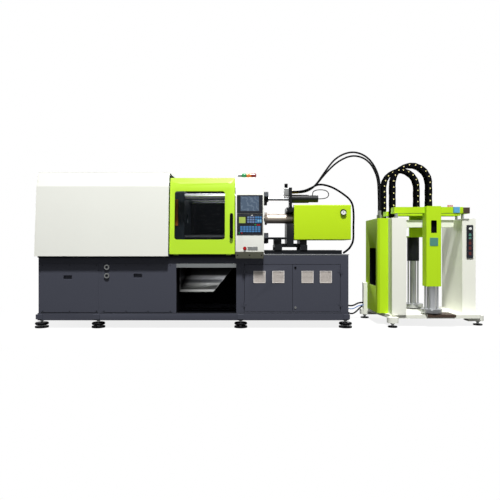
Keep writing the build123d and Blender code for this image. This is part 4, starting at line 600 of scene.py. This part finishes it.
class MACHINE_OT_stage(bpy.types.Operator):
    """Pale floor, white surroundings, soft lamps and the camera"""

    bl_idname = "machine.stage"
    bl_label = "Stage"

    def execute(self, context):
        settings = context.scene.machine_stage
        optics = bpy.data.cameras.new("camera")
        optics.lens, optics.sensor_width, optics.shift_y = settings.focal, 36.0, -0.004
        camera = in_scene("camera", optics)
        camera.location = (BED_LEFT + 2.644, FRONT - settings.distance, settings.height)
        camera.rotation_euler = (radians(90), 0, 0)
        context.scene.camera = camera
        self.floor()
        self.surroundings(context.scene)
        for name, place, target, size, power in (
                ("key_softbox", (0.4, -7.9, 15.6), (0.2, 0, 0.7), 1.2, 4200),
                ("upper_softbox", (-0.3, -5.6, 7.3), (0, 0, 1.2), 2.6, 90),
                ("right_softbox", (7.0, -1.5, 3.5), (1.0, 0, 1.0), 3.5, 55),
                ("left_softbox", (-7.5, 1.0, 3.5), (-1.0, 0, 1.0), 3.5, 6),
                ("back_softbox", (0.5, 8.0, 4.5), (0, 0, 1.0), 4.5, 460)):
            soft_lamp(name, place, target, size, power * settings.lamp)
        return {"FINISHED"}

    def floor(self):
        """Seamless studio paper: matt and white, and lost in the white room further out.

        It throws little light back up, so that what hangs over stays dark below.
        """
        mesh = bpy.data.meshes.new("floor")
        reach = 40.0
        mesh.from_pydata([(-reach, -reach, 0), (reach, -reach, 0), (reach, reach, 0),
                          (-reach, reach, 0)], [], [(0, 1, 2, 3)])
        floor = in_scene("floor", mesh)
        tree, place = begin("studio_paper")
        camera_ray = add(tree, "ShaderNodeLightPath").outputs["Is Camera Ray"]
        around = add(tree, "ShaderNodeVectorMath", {0: place, 1: (0.42, 1.1, 0)},
                     operation="MULTIPLY")
        away = add(tree, "ShaderNodeVectorMath", {0: around.outputs[0]}, operation="LENGTH")
        fade = between(tree, away.outputs["Value"], 0.84, 1.0, 0.8, 2.2, "SMOOTHSTEP")
        sheet = mixed(tree, camera_ray, (0.12, 0.12, 0.12, 1), (0.8, 0.8, 0.8, 1))
        matt = add(tree, "ShaderNodeBsdfDiffuse", {"Color": sheet})
        glow = add(tree, "ShaderNodeEmission", {"Color": (1, 1, 1, 1), "Strength": 1.0})
        close(tree, add(tree, "ShaderNodeMixShader", {
            0: maths(tree, "MULTIPLY", fade, camera_ray),
            1: matt.outputs[0], 2: glow.outputs[0]}))
        mesh.materials.append(bpy.data.materials["studio_paper"])

    def surroundings(self, scene):
        """Room that is white in sight and in mirrors, and dim where it only gives light."""
        world = bpy.data.worlds.new("white_room")
        scene.world = world
        world.use_nodes = True
        tree = world.node_tree
        tree.nodes.clear()
        rays = add(tree, "ShaderNodeLightPath").outputs
        seen = maths(tree, "MAXIMUM", rays["Is Camera Ray"], rays["Is Transmission Ray"])
        room = add(tree, "ShaderNodeBackground", {"Color": (0.95, 0.97, 1, 1),
                                                  "Strength": 0.11})
        white = add(tree, "ShaderNodeBackground", {"Color": (1, 1, 1, 1), "Strength": 1.0})
        mix = add(tree, "ShaderNodeMixShader", {
            0: maths(tree, "MAXIMUM", seen, rays["Is Glossy Ray"]),
            1: room.outputs[0], 2: white.outputs[0]})
        add(tree, "ShaderNodeOutputWorld", {"Surface": mix.outputs[0]})
        scene.view_settings.view_transform = "Standard"


# Hoses and cables. Route points are the part's own, in metres.

UPPER_HOSE = (
    (.481, -.1105, 1.745), (.585, -.1105, 1.745), (.715, -.108, 1.835), (.83, -.105, 2.01),
    (.985, -.1, 2.215), (1.215, -.096, 2.3), (1.43, -.092, 2.21), (1.56, -.088, 1.985),
    (1.579, -.0865, 1.74), (1.579, -.0865, 1.5))
LOWER_HOSE = (
    (.481, -.0625, 1.745), (.58, -.0625, 1.745), (.712, -.06, 1.828), (.85, -.05, 2.005),
    (1.025, -.038, 2.175), (1.235, -.028, 2.262), (1.44, -.018, 2.19), (1.562, -.01, 1.98),
    (1.579, -.0065, 1.735), (1.579, -.0065, 1.5))
CONDUIT = (
    (.393, -.146, 1.745), (.52, -.146, 1.745), (.64, -.146, 1.79), (.745, -.146, 1.85),
    (.9, -.146, 1.82), (1.05, -.146, 1.735), (1.192, -.146, 1.62), (1.214, -.142, 1.45),
    (1.208, -.138, 1.28), (1.21, -.145, 1.11), (1.172, -.175, 1.028), (1.112, -.225, .968),
    (1.05, -.28, .938))
LEAD = (
    (.745, -.0865, 1.657), (.81, -.0865, 1.657), (.875, -.0865, 1.675), (.895, -.0865, 1.722),
    (.862, -.0865, 1.768), (.795, -.0865, 1.78), (.725, -.0865, 1.776), (.684, -.0865, 1.758),
    (.673, -.0865, 1.728), (.673, -.0865, 1.704))
CABLE_UPPER = (
    (1.068, .25, .235), (1.13, .25, .235), (1.197, .262, .198), (1.262, .29, .18),
    (1.325, .32, .19), (1.386, .345, .222), (1.449, .345, .222))
CABLE_LOWER = (
    (1.068, .305, .205), (1.122, .305, .205), (1.176, .312, .152), (1.216, .323, .096),
    (1.258, .334, .066), (1.308, .346, .064), (1.356, .356, .092), (1.402, .362, .14),
    (1.441, .365, .172))
CABLE_BLUE = (
    (1.068, .222, .2), (1.12, .222, .2), (1.18, .23, .165), (1.245, .252, .14),
    (1.312, .282, .146), (1.395, .318, .19), (1.449, .318, .19))


def route_curve(name, route, resolution=12):
    """Smooth curve whose control points are the route's points."""
    curve = bpy.data.curves.new(name, "CURVE")
    curve.dimensions = "3D"
    curve.resolution_u = resolution
    spline = curve.splines.new("NURBS")
    spline.points.add(len(route) - 1)
    for point, place in zip(spline.points, route):
        point.co = (*place, 1.0)
    spline.order_u, spline.use_endpoint_u = 3, True
    return in_scene(name, curve)


def round_cord(node, route, diameter, length, name, stiffness, lay):
    """Cord of one spline that replaces its solid."""
    cord = route_curve(node + "_cord", route)
    cord.data.bevel_depth, cord.data.bevel_resolution = diameter / 2, 4
    cord.data.use_fill_caps = True
    cord.data.materials.append(finish(name))
    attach(cord, BODY_OF[node])
    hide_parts(node)


def centreline(route):
    """Points along the route's smooth curve."""
    mesh = plain_mesh(route_curve("route", route, resolution=24))
    points = [vertex.co.copy() for vertex in mesh.vertices]
    bpy.data.meshes.remove(mesh)
    return points


def tube_mesh(name, points, radius_at, sides=16):
    """Closed tube along points; radius_at gives its radius at a distance along it."""
    work = bmesh.new()
    ahead = Vector((0, 1, 0))
    rings, along = [], 0.0
    for n, point in enumerate(points):
        if n:
            along += (point - points[n - 1]).length
        run = (points[min(n + 1, len(points) - 1)] - points[max(n - 1, 0)]).normalized()
        side = run.cross(ahead).normalized()
        up = side.cross(run).normalized()
        reach = radius_at(along)
        rings.append([work.verts.new(point + reach * (cos(2 * pi * k / sides) * side
                                                      + sin(2 * pi * k / sides) * up))
                      for k in range(sides)])
    for a, b in zip(rings, rings[1:]):
        for k in range(sides):
            work.faces.new((a[k], a[(k + 1) % sides], b[(k + 1) % sides], b[k]))
    work.faces.new(rings[0][::-1])
    work.faces.new(rings[-1])
    bmesh.ops.recalc_face_normals(work, faces=work.faces)
    mesh = bpy.data.meshes.new(name)
    work.to_mesh(mesh)
    work.free()
    mesh.shade_smooth()
    mesh.set_sharp_from_angle(angle=radians(50))
    return mesh


def evenly(points, step):
    """Points every step along a line of points."""
    found, travelled, wanted = [points[0]], 0.0, step
    for a, b in zip(points, points[1:]):
        run = (b - a).length
        while wanted <= travelled + run:
            found.append(a.lerp(b, (wanted - travelled) / run))
            wanted += step
        travelled += run
    if (found[-1] - points[-1]).length > step * 0.2:
        found.append(points[-1])
    else:
        found[-1] = points[-1]
    return found


def bending_tube(node, route, radius_at, step, name):
    """Hose between the carriage and the rest of the set, as a tube along its route."""
    points = evenly(centreline(route), step)
    mesh = tube_mesh(node + "_tube", points, radius_at)
    mesh.materials.append(finish(name))
    tube = on_body(node + "_tube", mesh, None, node)
    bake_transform(tube)


class MACHINE_OT_hoses(bpy.types.Operator):
    """Feed hoses, corrugated conduit, signal lead and floor cables"""

    bl_idname = "machine.hoses"
    bl_label = "Hoses and cables"

    def execute(self, context):
        size = details()
        step, bend_x0, bend_x1, bend_z = 0.012, 0.62, 1.50, 1.75
        for node, route, length in (("feed_hose_upper", UPPER_HOSE, 1.91),
                                    ("feed_hose_lower", LOWER_HOSE, 1.86)):
            bending_tube(node, route, lambda along: size.hose / 2, step, "hose")
        half_rib, groove = size.rib / 2, 0.0022

        def corrugated(along):
            return size.conduit / 2 - (groove if round(along / half_rib) % 2 else 0.0)

        bending_tube("conduit", CONDUIT, corrugated, half_rib, "black")
        for cord in (
                ("signal_lead", LEAD, size.lead, 0.465, "hose", "medium", "loose"),
                ("floor_cable_upper", CABLE_UPPER, size.cable, 0.41, "hose", "stiff", "hanging"),
                ("floor_cable_lower", CABLE_LOWER, size.cable, 0.47, "hose", "stiff", "hanging"),
                ("floor_cable_blue", CABLE_BLUE, size.lead, 0.41, "blue_hose", "medium",
                 "hanging")):
            round_cord(*cord)
        return {"FINISHED"}


# Press

class MACHINE_OT_covers(bpy.types.Operator):
    """Clamp covers with their end and top sheets, and the guard gates with their panes"""

    bl_idname = "machine.covers"
    bl_label = "Covers and gates"

    def execute(self, context):
        for node in ("cover_front", "cover_rear", "cover_hood"):
            dress(node, "cover")
        dress("gate_front", "gate")
        # The rear gate's faces toward the mould space take near-black painted shade.
        dress("gate_rear", "gate", "shade", choose=lambda place, normal: normal.y < -0.5)
        dress("gate_front_window", "pane")
        # The rear window's near-black smoked pane is partly painted shade.
        dress("gate_rear_window", "smoked")
        dress("gate_front_handle", "black", edge=0)
        return {"FINISHED"}


class MACHINE_OT_operator_column(bpy.types.Operator):
    """Operator column with its screen, keys, buttons and signal light"""

    bl_idname = "machine.operator_column"
    bl_label = "Operator column"

    def execute(self, context):
        left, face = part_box("guard_columns")[0].x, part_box("guard_columns")[0].y
        slope_top, keypad_bottom, plate_x0 = 0.955, 1.1, BED_LEFT + 2.61
        # The column's down-slanted bottom face takes a darker copy of the cover coat: painted
        # shade.
        dress("guard_columns", "cover", "cover_in_shade", choose=lambda place, normal:
              place.z < slope_top and normal.y < -0.2 and normal.z < -0.2)
        dress("hmi_panels", "bezel", "zinc", "black", choose=lambda place, normal:
              0 if place.z > keypad_bottom else 1 if place.x > plate_x0 else 2, edge=FINE)
        key_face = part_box("hmi_panels")[0].y
        for name, paint, x, z, columns, rows, pitch_x, pitch_z, width, height in (
                ("lime_key", "lime_key", 0.0835, 1.340, 1, 1, 0, 0, 0.078, 0.074),
                ("middle_keys", "keys", 0.188, 1.345, 3, 3, 0.031, 0.028, 0.025, 0.021),
                ("right_keys", "blue_keys", 0.2795, 1.345, 3, 3, 0.0275, 0.028, 0.023, 0.021),
                ("lower_keys", "blue_keys", 0.1815, 1.230, 7, 3, 0.036, 0.026, 0.029, 0.020),
                ("pale_keys", "pale_keys", 0.2932, 1.331, 2, 1, 0.0275, 0, 0.023, 0.021),
                ("white_key", "white", 0.2024, 1.3985, 1, 1, 0, 0, 0.022, 0.009),
                ("green_key", "green", 0.243, 1.283, 1, 1, 0, 0, 0.018, 0.015),
                ("red_keys", "red", 0.279, 1.281, 2, 1, 0.022, 0, 0.016, 0.016)):
            lift = 0.0006 if name == "pale_keys" else 0.0002    # pale ones lie on blue ones
            spots = [(left + x + (column - (columns - 1) / 2) * pitch_x, key_face - lift,
                      z + (row - (rows - 1) / 2) * pitch_z)
                     for column in range(columns) for row in range(rows)]
            grow(name, "plates", spots, FRONTWARD, "base", paint, Width=width,
                 Height=height, Corner=0.002, Thickness=0.0016)
        slope = (radians(90) + 1.06, 0.0, 0.0)
        fold = [(left + x, face + 0.073, 0.912) for x in (0.022, 0.172, 0.322)]
        grow("column_screws", "screws", fold, slope, "base", "black", Diameter=0.018,
             Height=0.008)
        dress("screen", "screen", edge=KEEN)
        dress("e_stop", "red", edge=0)
        dress("button_start", "green", edge=FINE)
        dress("button_stop", "red", edge=FINE)
        lens, lens_x0 = 0.06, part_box("signal_light")[0].x + 0.046
        dress("signal_light", "zinc", "lens_green", "lens_orange", "lens_red", edge=FINE,
              choose=lambda place, normal: 0 if place.x < lens_x0
              else min(3, 1 + int((place.x - lens_x0) / lens)))
        return {"FINISHED"}


class MACHINE_OT_bed(bpy.types.Operator):
    """Bed frame, side panels, water ports, feet and the chute"""

    bl_idname = "machine.bed"
    bl_label = "Bed"

    def execute(self, context):
        bay_x0, bay_x1, bay_z0, bay_z1 = BED_LEFT + 1.7229, BED_LEFT + 2.4721, 0.187, 0.811
        rail_z, port_x, cushion_z = 0.87, BED_LEFT + 0.859, 0.052
        pad_z, lip_z = 0.0205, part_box("drop_chute")[1].z - 0.06

        def frame_part(place, normal):
            """Near-black painted shade inside the parts bay and on the gates' rails."""
            bay = bay_x0 < place.x < bay_x1 and bay_z0 < place.z < bay_z1
            inside = FRONT + 0.003 < place.y < FRONT + 1.0965
            rail = place.y < FRONT - 0.011 or place.y > FRONT + 1.111
            return (bay and inside) or (rail and place.z > rail_z)

        dress("bed_frame", "bed", "shade", choose=frame_part)
        dress("bed_panels", "bed", "zinc", edge=PANEL, choose=lambda place, normal:
              abs(place.x - port_x) < 0.04 and place.y < FRONT - 0.0045)
        dress("levelling_feet", "rubber", "zinc", edge=BAR,
              choose=lambda place, normal: place.z > pad_z)
        dress("drop_chute", "chute", "stainless", edge=FINE, choose=lambda place, normal:
              place.z > lip_z and place.y < FRONT - 0.001)
        feet = [(BED_LEFT + x, MIDDLE_Y + side * 0.5, cushion_z)
                for x in (0.022, 0.735, 2.528, 3.846) for side in (-1, 1)]
        grow("foot_cushions", "discs", feet, UPWARD, "base", "rubber",
             Radius=0.065, Bulge=0.0165)
        spots, margin, screw_rows = [], 0.022, (0.212, 0.786)
        for low, high, count in ((0.034, 0.748, 3), (0.798, 1.669, 4)):
            for row in screw_rows:
                spots += [(BED_LEFT + low + margin + n * (high - low - 2 * margin) / (count - 1),
                           FRONT - 0.004, row) for n in range(count)]
        grow("panel_screws", "screws", spots, FRONTWARD, "base", "trim",
             Diameter=details().screw, Height=0.006)
        # A near-black tray plate across the bay's bottom: painted shade that hides the floor
        # beneath.
        grow("bay_floor", "plates", [(BED_LEFT + 2.0975, MIDDLE_Y, 0.101)], UPWARD, "base",
             "shade", Width=1.08, Height=0.84, Corner=0.004, Thickness=0.003)
        # A bright steel strip along the bed's top front edge; it also stands in as the edge's
        # painted highlight.
        grow("deck_edge", "plates", [((BED_LEFT + 2.814 + BED_RIGHT) / 2, FRONT, 0.9165)],
             FRONTWARD, "base", "edge_strip", Width=BED_RIGHT - BED_LEFT - 2.818,
             Height=0.01, Corner=0.002, Thickness=0.002)
        return {"FINISHED"}


class MACHINE_OT_doors(bpy.types.Operator):
    """Cabinet doors, filter vents and locks"""

    bl_idname = "machine.doors"
    bl_label = "Cabinet doors"

    def execute(self, context):
        vents, vent_z, vent_half = (2.763, 2.997, 3.363, 3.592), 0.638, 0.0752

        def vent(place, normal):
            """A vent's filter, and its frame that stands out from the door."""
            out = min(abs(place.x - BED_LEFT - x) for x in vents)
            if max(out, abs(place.z - vent_z)) < vent_half:
                return 2 if place.y < FRONT - 0.0035 else 1
            return 0

        for node in ("door_left", "door_right"):
            dress(node, "bed", "vent", "vent_frame", choose=vent, edge=PANEL)
        dress("lock_upper", "black", edge=KEEN)
        dress("lock_lower", "zinc", edge=KEEN)
        return {"FINISHED"}


class MACHINE_OT_clamp(bpy.types.Operator):
    """Platens, clamp cylinder, ram, tie bars, ejector and rails"""

    bl_idname = "machine.clamp"
    bl_label = "Clamp"

    def execute(self, context):
        duct_y = MIDDLE_Y - 0.331
        dress("moving_platen", "platen", "orange",
              choose=lambda place, normal: place.y < duct_y)
        dress("fixed_platen", "platen")
        dress("clamp_block", "platen")
        dress("clamp_ram", "chrome", edge=BAR)
        nuts_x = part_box("tie_bars")[1].x - 0.0805
        # The end nuts and the lower bars take the dark steel; on the lower bars it is painted
        # shade.
        dress("tie_bars", "chrome", "oiled", edge=BAR,
              choose=lambda place, normal: place.x > nuts_x or place.z < SHADE_BELOW)
        dress("ejector_rod", "steel", edge=FINE)
        platen_x1, gate_rail_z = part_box("fixed_platen")[1].x, 1.2
        dress("slide_rails", "steel", "trim", edge=BAR,
              choose=lambda place, normal: place.x > platen_x1 or place.z > gate_rail_z)
        return {"FINISHED"}


class MACHINE_OT_injection(bpy.types.Operator):
    """Injection carriage, barrel, traverse cylinder, housing and gauge"""

    bl_idname = "machine.injection"
    bl_label = "Injection unit"

    def execute(self, context):
        dress("carriage", "motor")
        dress("barrel", "heated", edge=BAR)
        # The lower rods take the dark steel as painted shade.
        dress("traverse_rods", "chrome", "oiled", edge=0,
              choose=lambda place, normal: place.z < SHADE_BELOW)
        valve_x1, valve_cap_z = BED_LEFT + 3.17, 1.7985
        dress("traverse_cylinder", "motor", "zinc", "black", edge=BAR,
              choose=lambda place, normal: 0 if place.x > valve_x1
              else 2 if place.z > valve_cap_z else 1)
        dress("hose_fittings", "brass", edge=FINE)
        dress("injection_housing", "housing", edge=0)
        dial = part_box("gauge")[0].y + 0.0075
        dress("gauge", "black", "dial", edge=FINE,
              choose=lambda place, normal: normal.y < -0.9 and place.y > dial)
        dress("gauge_needle", "black", edge=0)
        return {"FINISHED"}


# Dosing unit

class MACHINE_OT_dosing_body(bpy.types.Operator):
    """Chassis, cabinet, portal, control strip and hose ports"""

    bl_idname = "machine.dosing_body"
    bl_label = "Dosing unit body"

    def execute(self, context):
        def base_part(place, normal):
            """Brown on the drum plate's top and front edge."""
            plate = 0.57 < place.x - DOSING_LEFT < 0.94 and place.y < FRONT + 0.31
            return plate and place.z > 0.12 and (place.z > 0.1505 or place.y < FRONT + 0.0985)

        def cabinet_part(place, normal):
            """Near-black painted shade inside the cabinet's slot."""
            return (DOSING_LEFT + 0.0005 < place.x < DOSING_LEFT + 0.1105
                    and FRONT + 0.3475 < place.y < FRONT + 0.6805
                    and 0.4995 < place.z < 1.0005)

        dress("dosing_base", "portal", "brown", choose=base_part)
        dress("dosing_cabinet", "dosing", "shade", choose=cabinet_part)
        dress("dosing_frame", "portal")
        dress("control_strip", "bezel", edge=PANEL)
        for node, paint in (("strip_knob", "white"), ("strip_green", "teal"),
                            ("strip_red", "brick")):
            dress(node, paint, edge=FINE)
        low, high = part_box("control_strip")
        for name, paint, height, shares in (
                ("strip_lamps", "teal", 0.022, (0.31, 0.40)),
                ("strip_switches", "brick", 0.042, (0.55, 0.70, 0.86))):
            spots = [((low.x + high.x) / 2, low.y + 0.0004, high.z + (low.z - high.z) * share)
                     for share in shares]
            grow(name, "plates", spots, FRONTWARD, BODY_OF["control_strip"],
                 paint, Width=0.032, Height=height, Corner=0.004, Thickness=0.0024)
        column_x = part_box("dosing_frame")[1].x - 0.174
        grow("column_web", "plates", [(column_x, FRONT + 0.75, 0.77)], RIGHTWARD, "base",
             "portal", Width=1.22, Height=0.38, Corner=0.004, Thickness=0.003)
        dress("hose_ports", "zinc", edge=FINE)
        return {"FINISHED"}


class MACHINE_OT_lifts(bpy.types.Operator):
    """Beams, pumps, rods and follower plates"""

    bl_idname = "machine.lifts"
    bl_label = "Lifts and pumps"

    def execute(self, context):
        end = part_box("front_beam")[1].x
        motor_x, pump_x, rear_motor_z = DOSING_LEFT + 0.665, DOSING_LEFT + 0.635, 0.8205

        def front_part(place, normal):
            """Valve, end block, caps, plate and slot of the front beam, by their places; the
            slot takes near-black painted shade.
            """
            across = abs(place.x - motor_x)
            if place.x > end - 0.1165:
                return 2
            if abs(place.x - end + 0.211) < 0.038 and place.y < FRONT + 0.149:
                return 1
            if 0.87 < place.x - DOSING_LEFT < 0.94 and place.z > 1.5262:
                return 3
            if across < 0.0525 and abs(place.z - 1.078) < 0.0525 and place.y < FRONT + 0.0798:
                return 4
            slot = across < 0.0365 and 1.1895 < place.z < 1.3505
            return 5 if slot and FRONT + 0.0805 < place.y < FRONT + 0.1205 else 0

        dress("front_beam", "dosing", "blue_valve", "brown", "caps", "teal", "shade",
              choose=front_part)
        dress("rear_beam", "dosing")
        dress("front_pump", "steel", edge=BAR)
        dress("rear_pump", "steel", "motor", edge=BAR, choose=lambda place, normal:
              place.z > rear_motor_z and abs(place.x - pump_x) < 0.1)
        return {"FINISHED"}


class MACHINE_OT_chains(bpy.types.Operator):
    """Drag chains, which bend as their lifts rise"""
    # Drag chains with their closing lids

    bl_idname = "machine.chains"
    bl_label = "Drag chains"

    def execute(self, context):
        for node, lift, foot in (("chain_front", "lift_front", 1.526),
                                 ("chain_rear", "lift_rear", 1.166)):
            low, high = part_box(node)
            mesh = skin(node, node + "_links", ("black", "pins"), lambda place, normal:
                        not low.y + 0.0005 <= place.y <= high.y - 0.0005)
            links = on_body(node + "_links", mesh, None, node)
            for piece in (links, self.lids(node, low, high, foot)):
                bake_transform(piece)
        return {"FINISHED"}

    def lids(self, node, low, high, foot):
        """Closing lids on both sides of every link, along the same arch as the links."""
        side, seat, pitch = 0.056, 0.018, 0.078
        x0, x1 = low.x + side / 2, high.x - side / 2
        radius = (x1 - x0) / 2
        shoulder = high.z - side / 2 - radius
        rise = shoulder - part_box("dosing_frame")[1].z - seat
        length = rise + pi * radius + shoulder - foot - seat
        count = round(length / pitch)
        spots, turns = [], []
        for n in range(count):
            along = (n + 0.5) * length / count - rise
            turned = min(max(along / radius, 0.0), pi)
            x = x0 + radius - radius * cos(turned)
            z = (shoulder + radius * sin(turned) + min(along, 0.0)
                 - max(along - pi * radius, 0.0))
            for out in (-1, 1):
                reach = out * (side / 2 - 0.006)
                spots.append((x - reach * cos(turned), (low.y + high.y) / 2,
                              z + reach * sin(turned)))
                turns.append((0.0, turned - pi / 2, 0.0))
        return grow(node + "_lids", "plates", spots, turns, None, "black", Width=0.07,
                    Height=high.y - low.y - 0.03, Corner=0.004, Thickness=0.004)


PIECES = (MACHINE_OT_stage, MACHINE_OT_hoses, MACHINE_OT_covers, MACHINE_OT_operator_column,
          MACHINE_OT_bed, MACHINE_OT_doors, MACHINE_OT_clamp, MACHINE_OT_injection,
          MACHINE_OT_dosing_body, MACHINE_OT_lifts, MACHINE_OT_chains)


class MACHINE_PT_pieces(bpy.types.Panel):
    """Colours, sizes and pieces of the machine"""

    bl_label = "Injection moulding machine"
    bl_space_type = "VIEW_3D"
    bl_region_type = "UI"
    bl_category = "Machine"

    def draw(self, context):
        for group in ("machine_colours", "machine_details", "machine_stage"):
            settings = getattr(context.scene, group)
            for name in settings.__annotations__:
                self.layout.prop(settings, name)
        for piece in PIECES:
            self.layout.operator(piece.bl_idname)


GROUPS = {"machine_colours": MachineColours, "machine_details": MachineDetails,
          "machine_stage": MachineStage}


def register():
    for name, group in GROUPS.items():
        bpy.utils.register_class(group)
        setattr(bpy.types.Scene, name, bpy.props.PointerProperty(type=group))
    for piece in (*PIECES, MACHINE_PT_pieces):
        bpy.utils.register_class(piece)


def unregister():
    for piece in (*PIECES, MACHINE_PT_pieces):
        bpy.utils.unregister_class(piece)
    for name, group in GROUPS.items():
        delattr(bpy.types.Scene, name)
        bpy.utils.unregister_class(group)


def main():
    register()
    for piece in PIECES:
        getattr(bpy.ops.machine, piece.bl_idname.split(".")[1])()


if __name__ == "__main__":
    main()
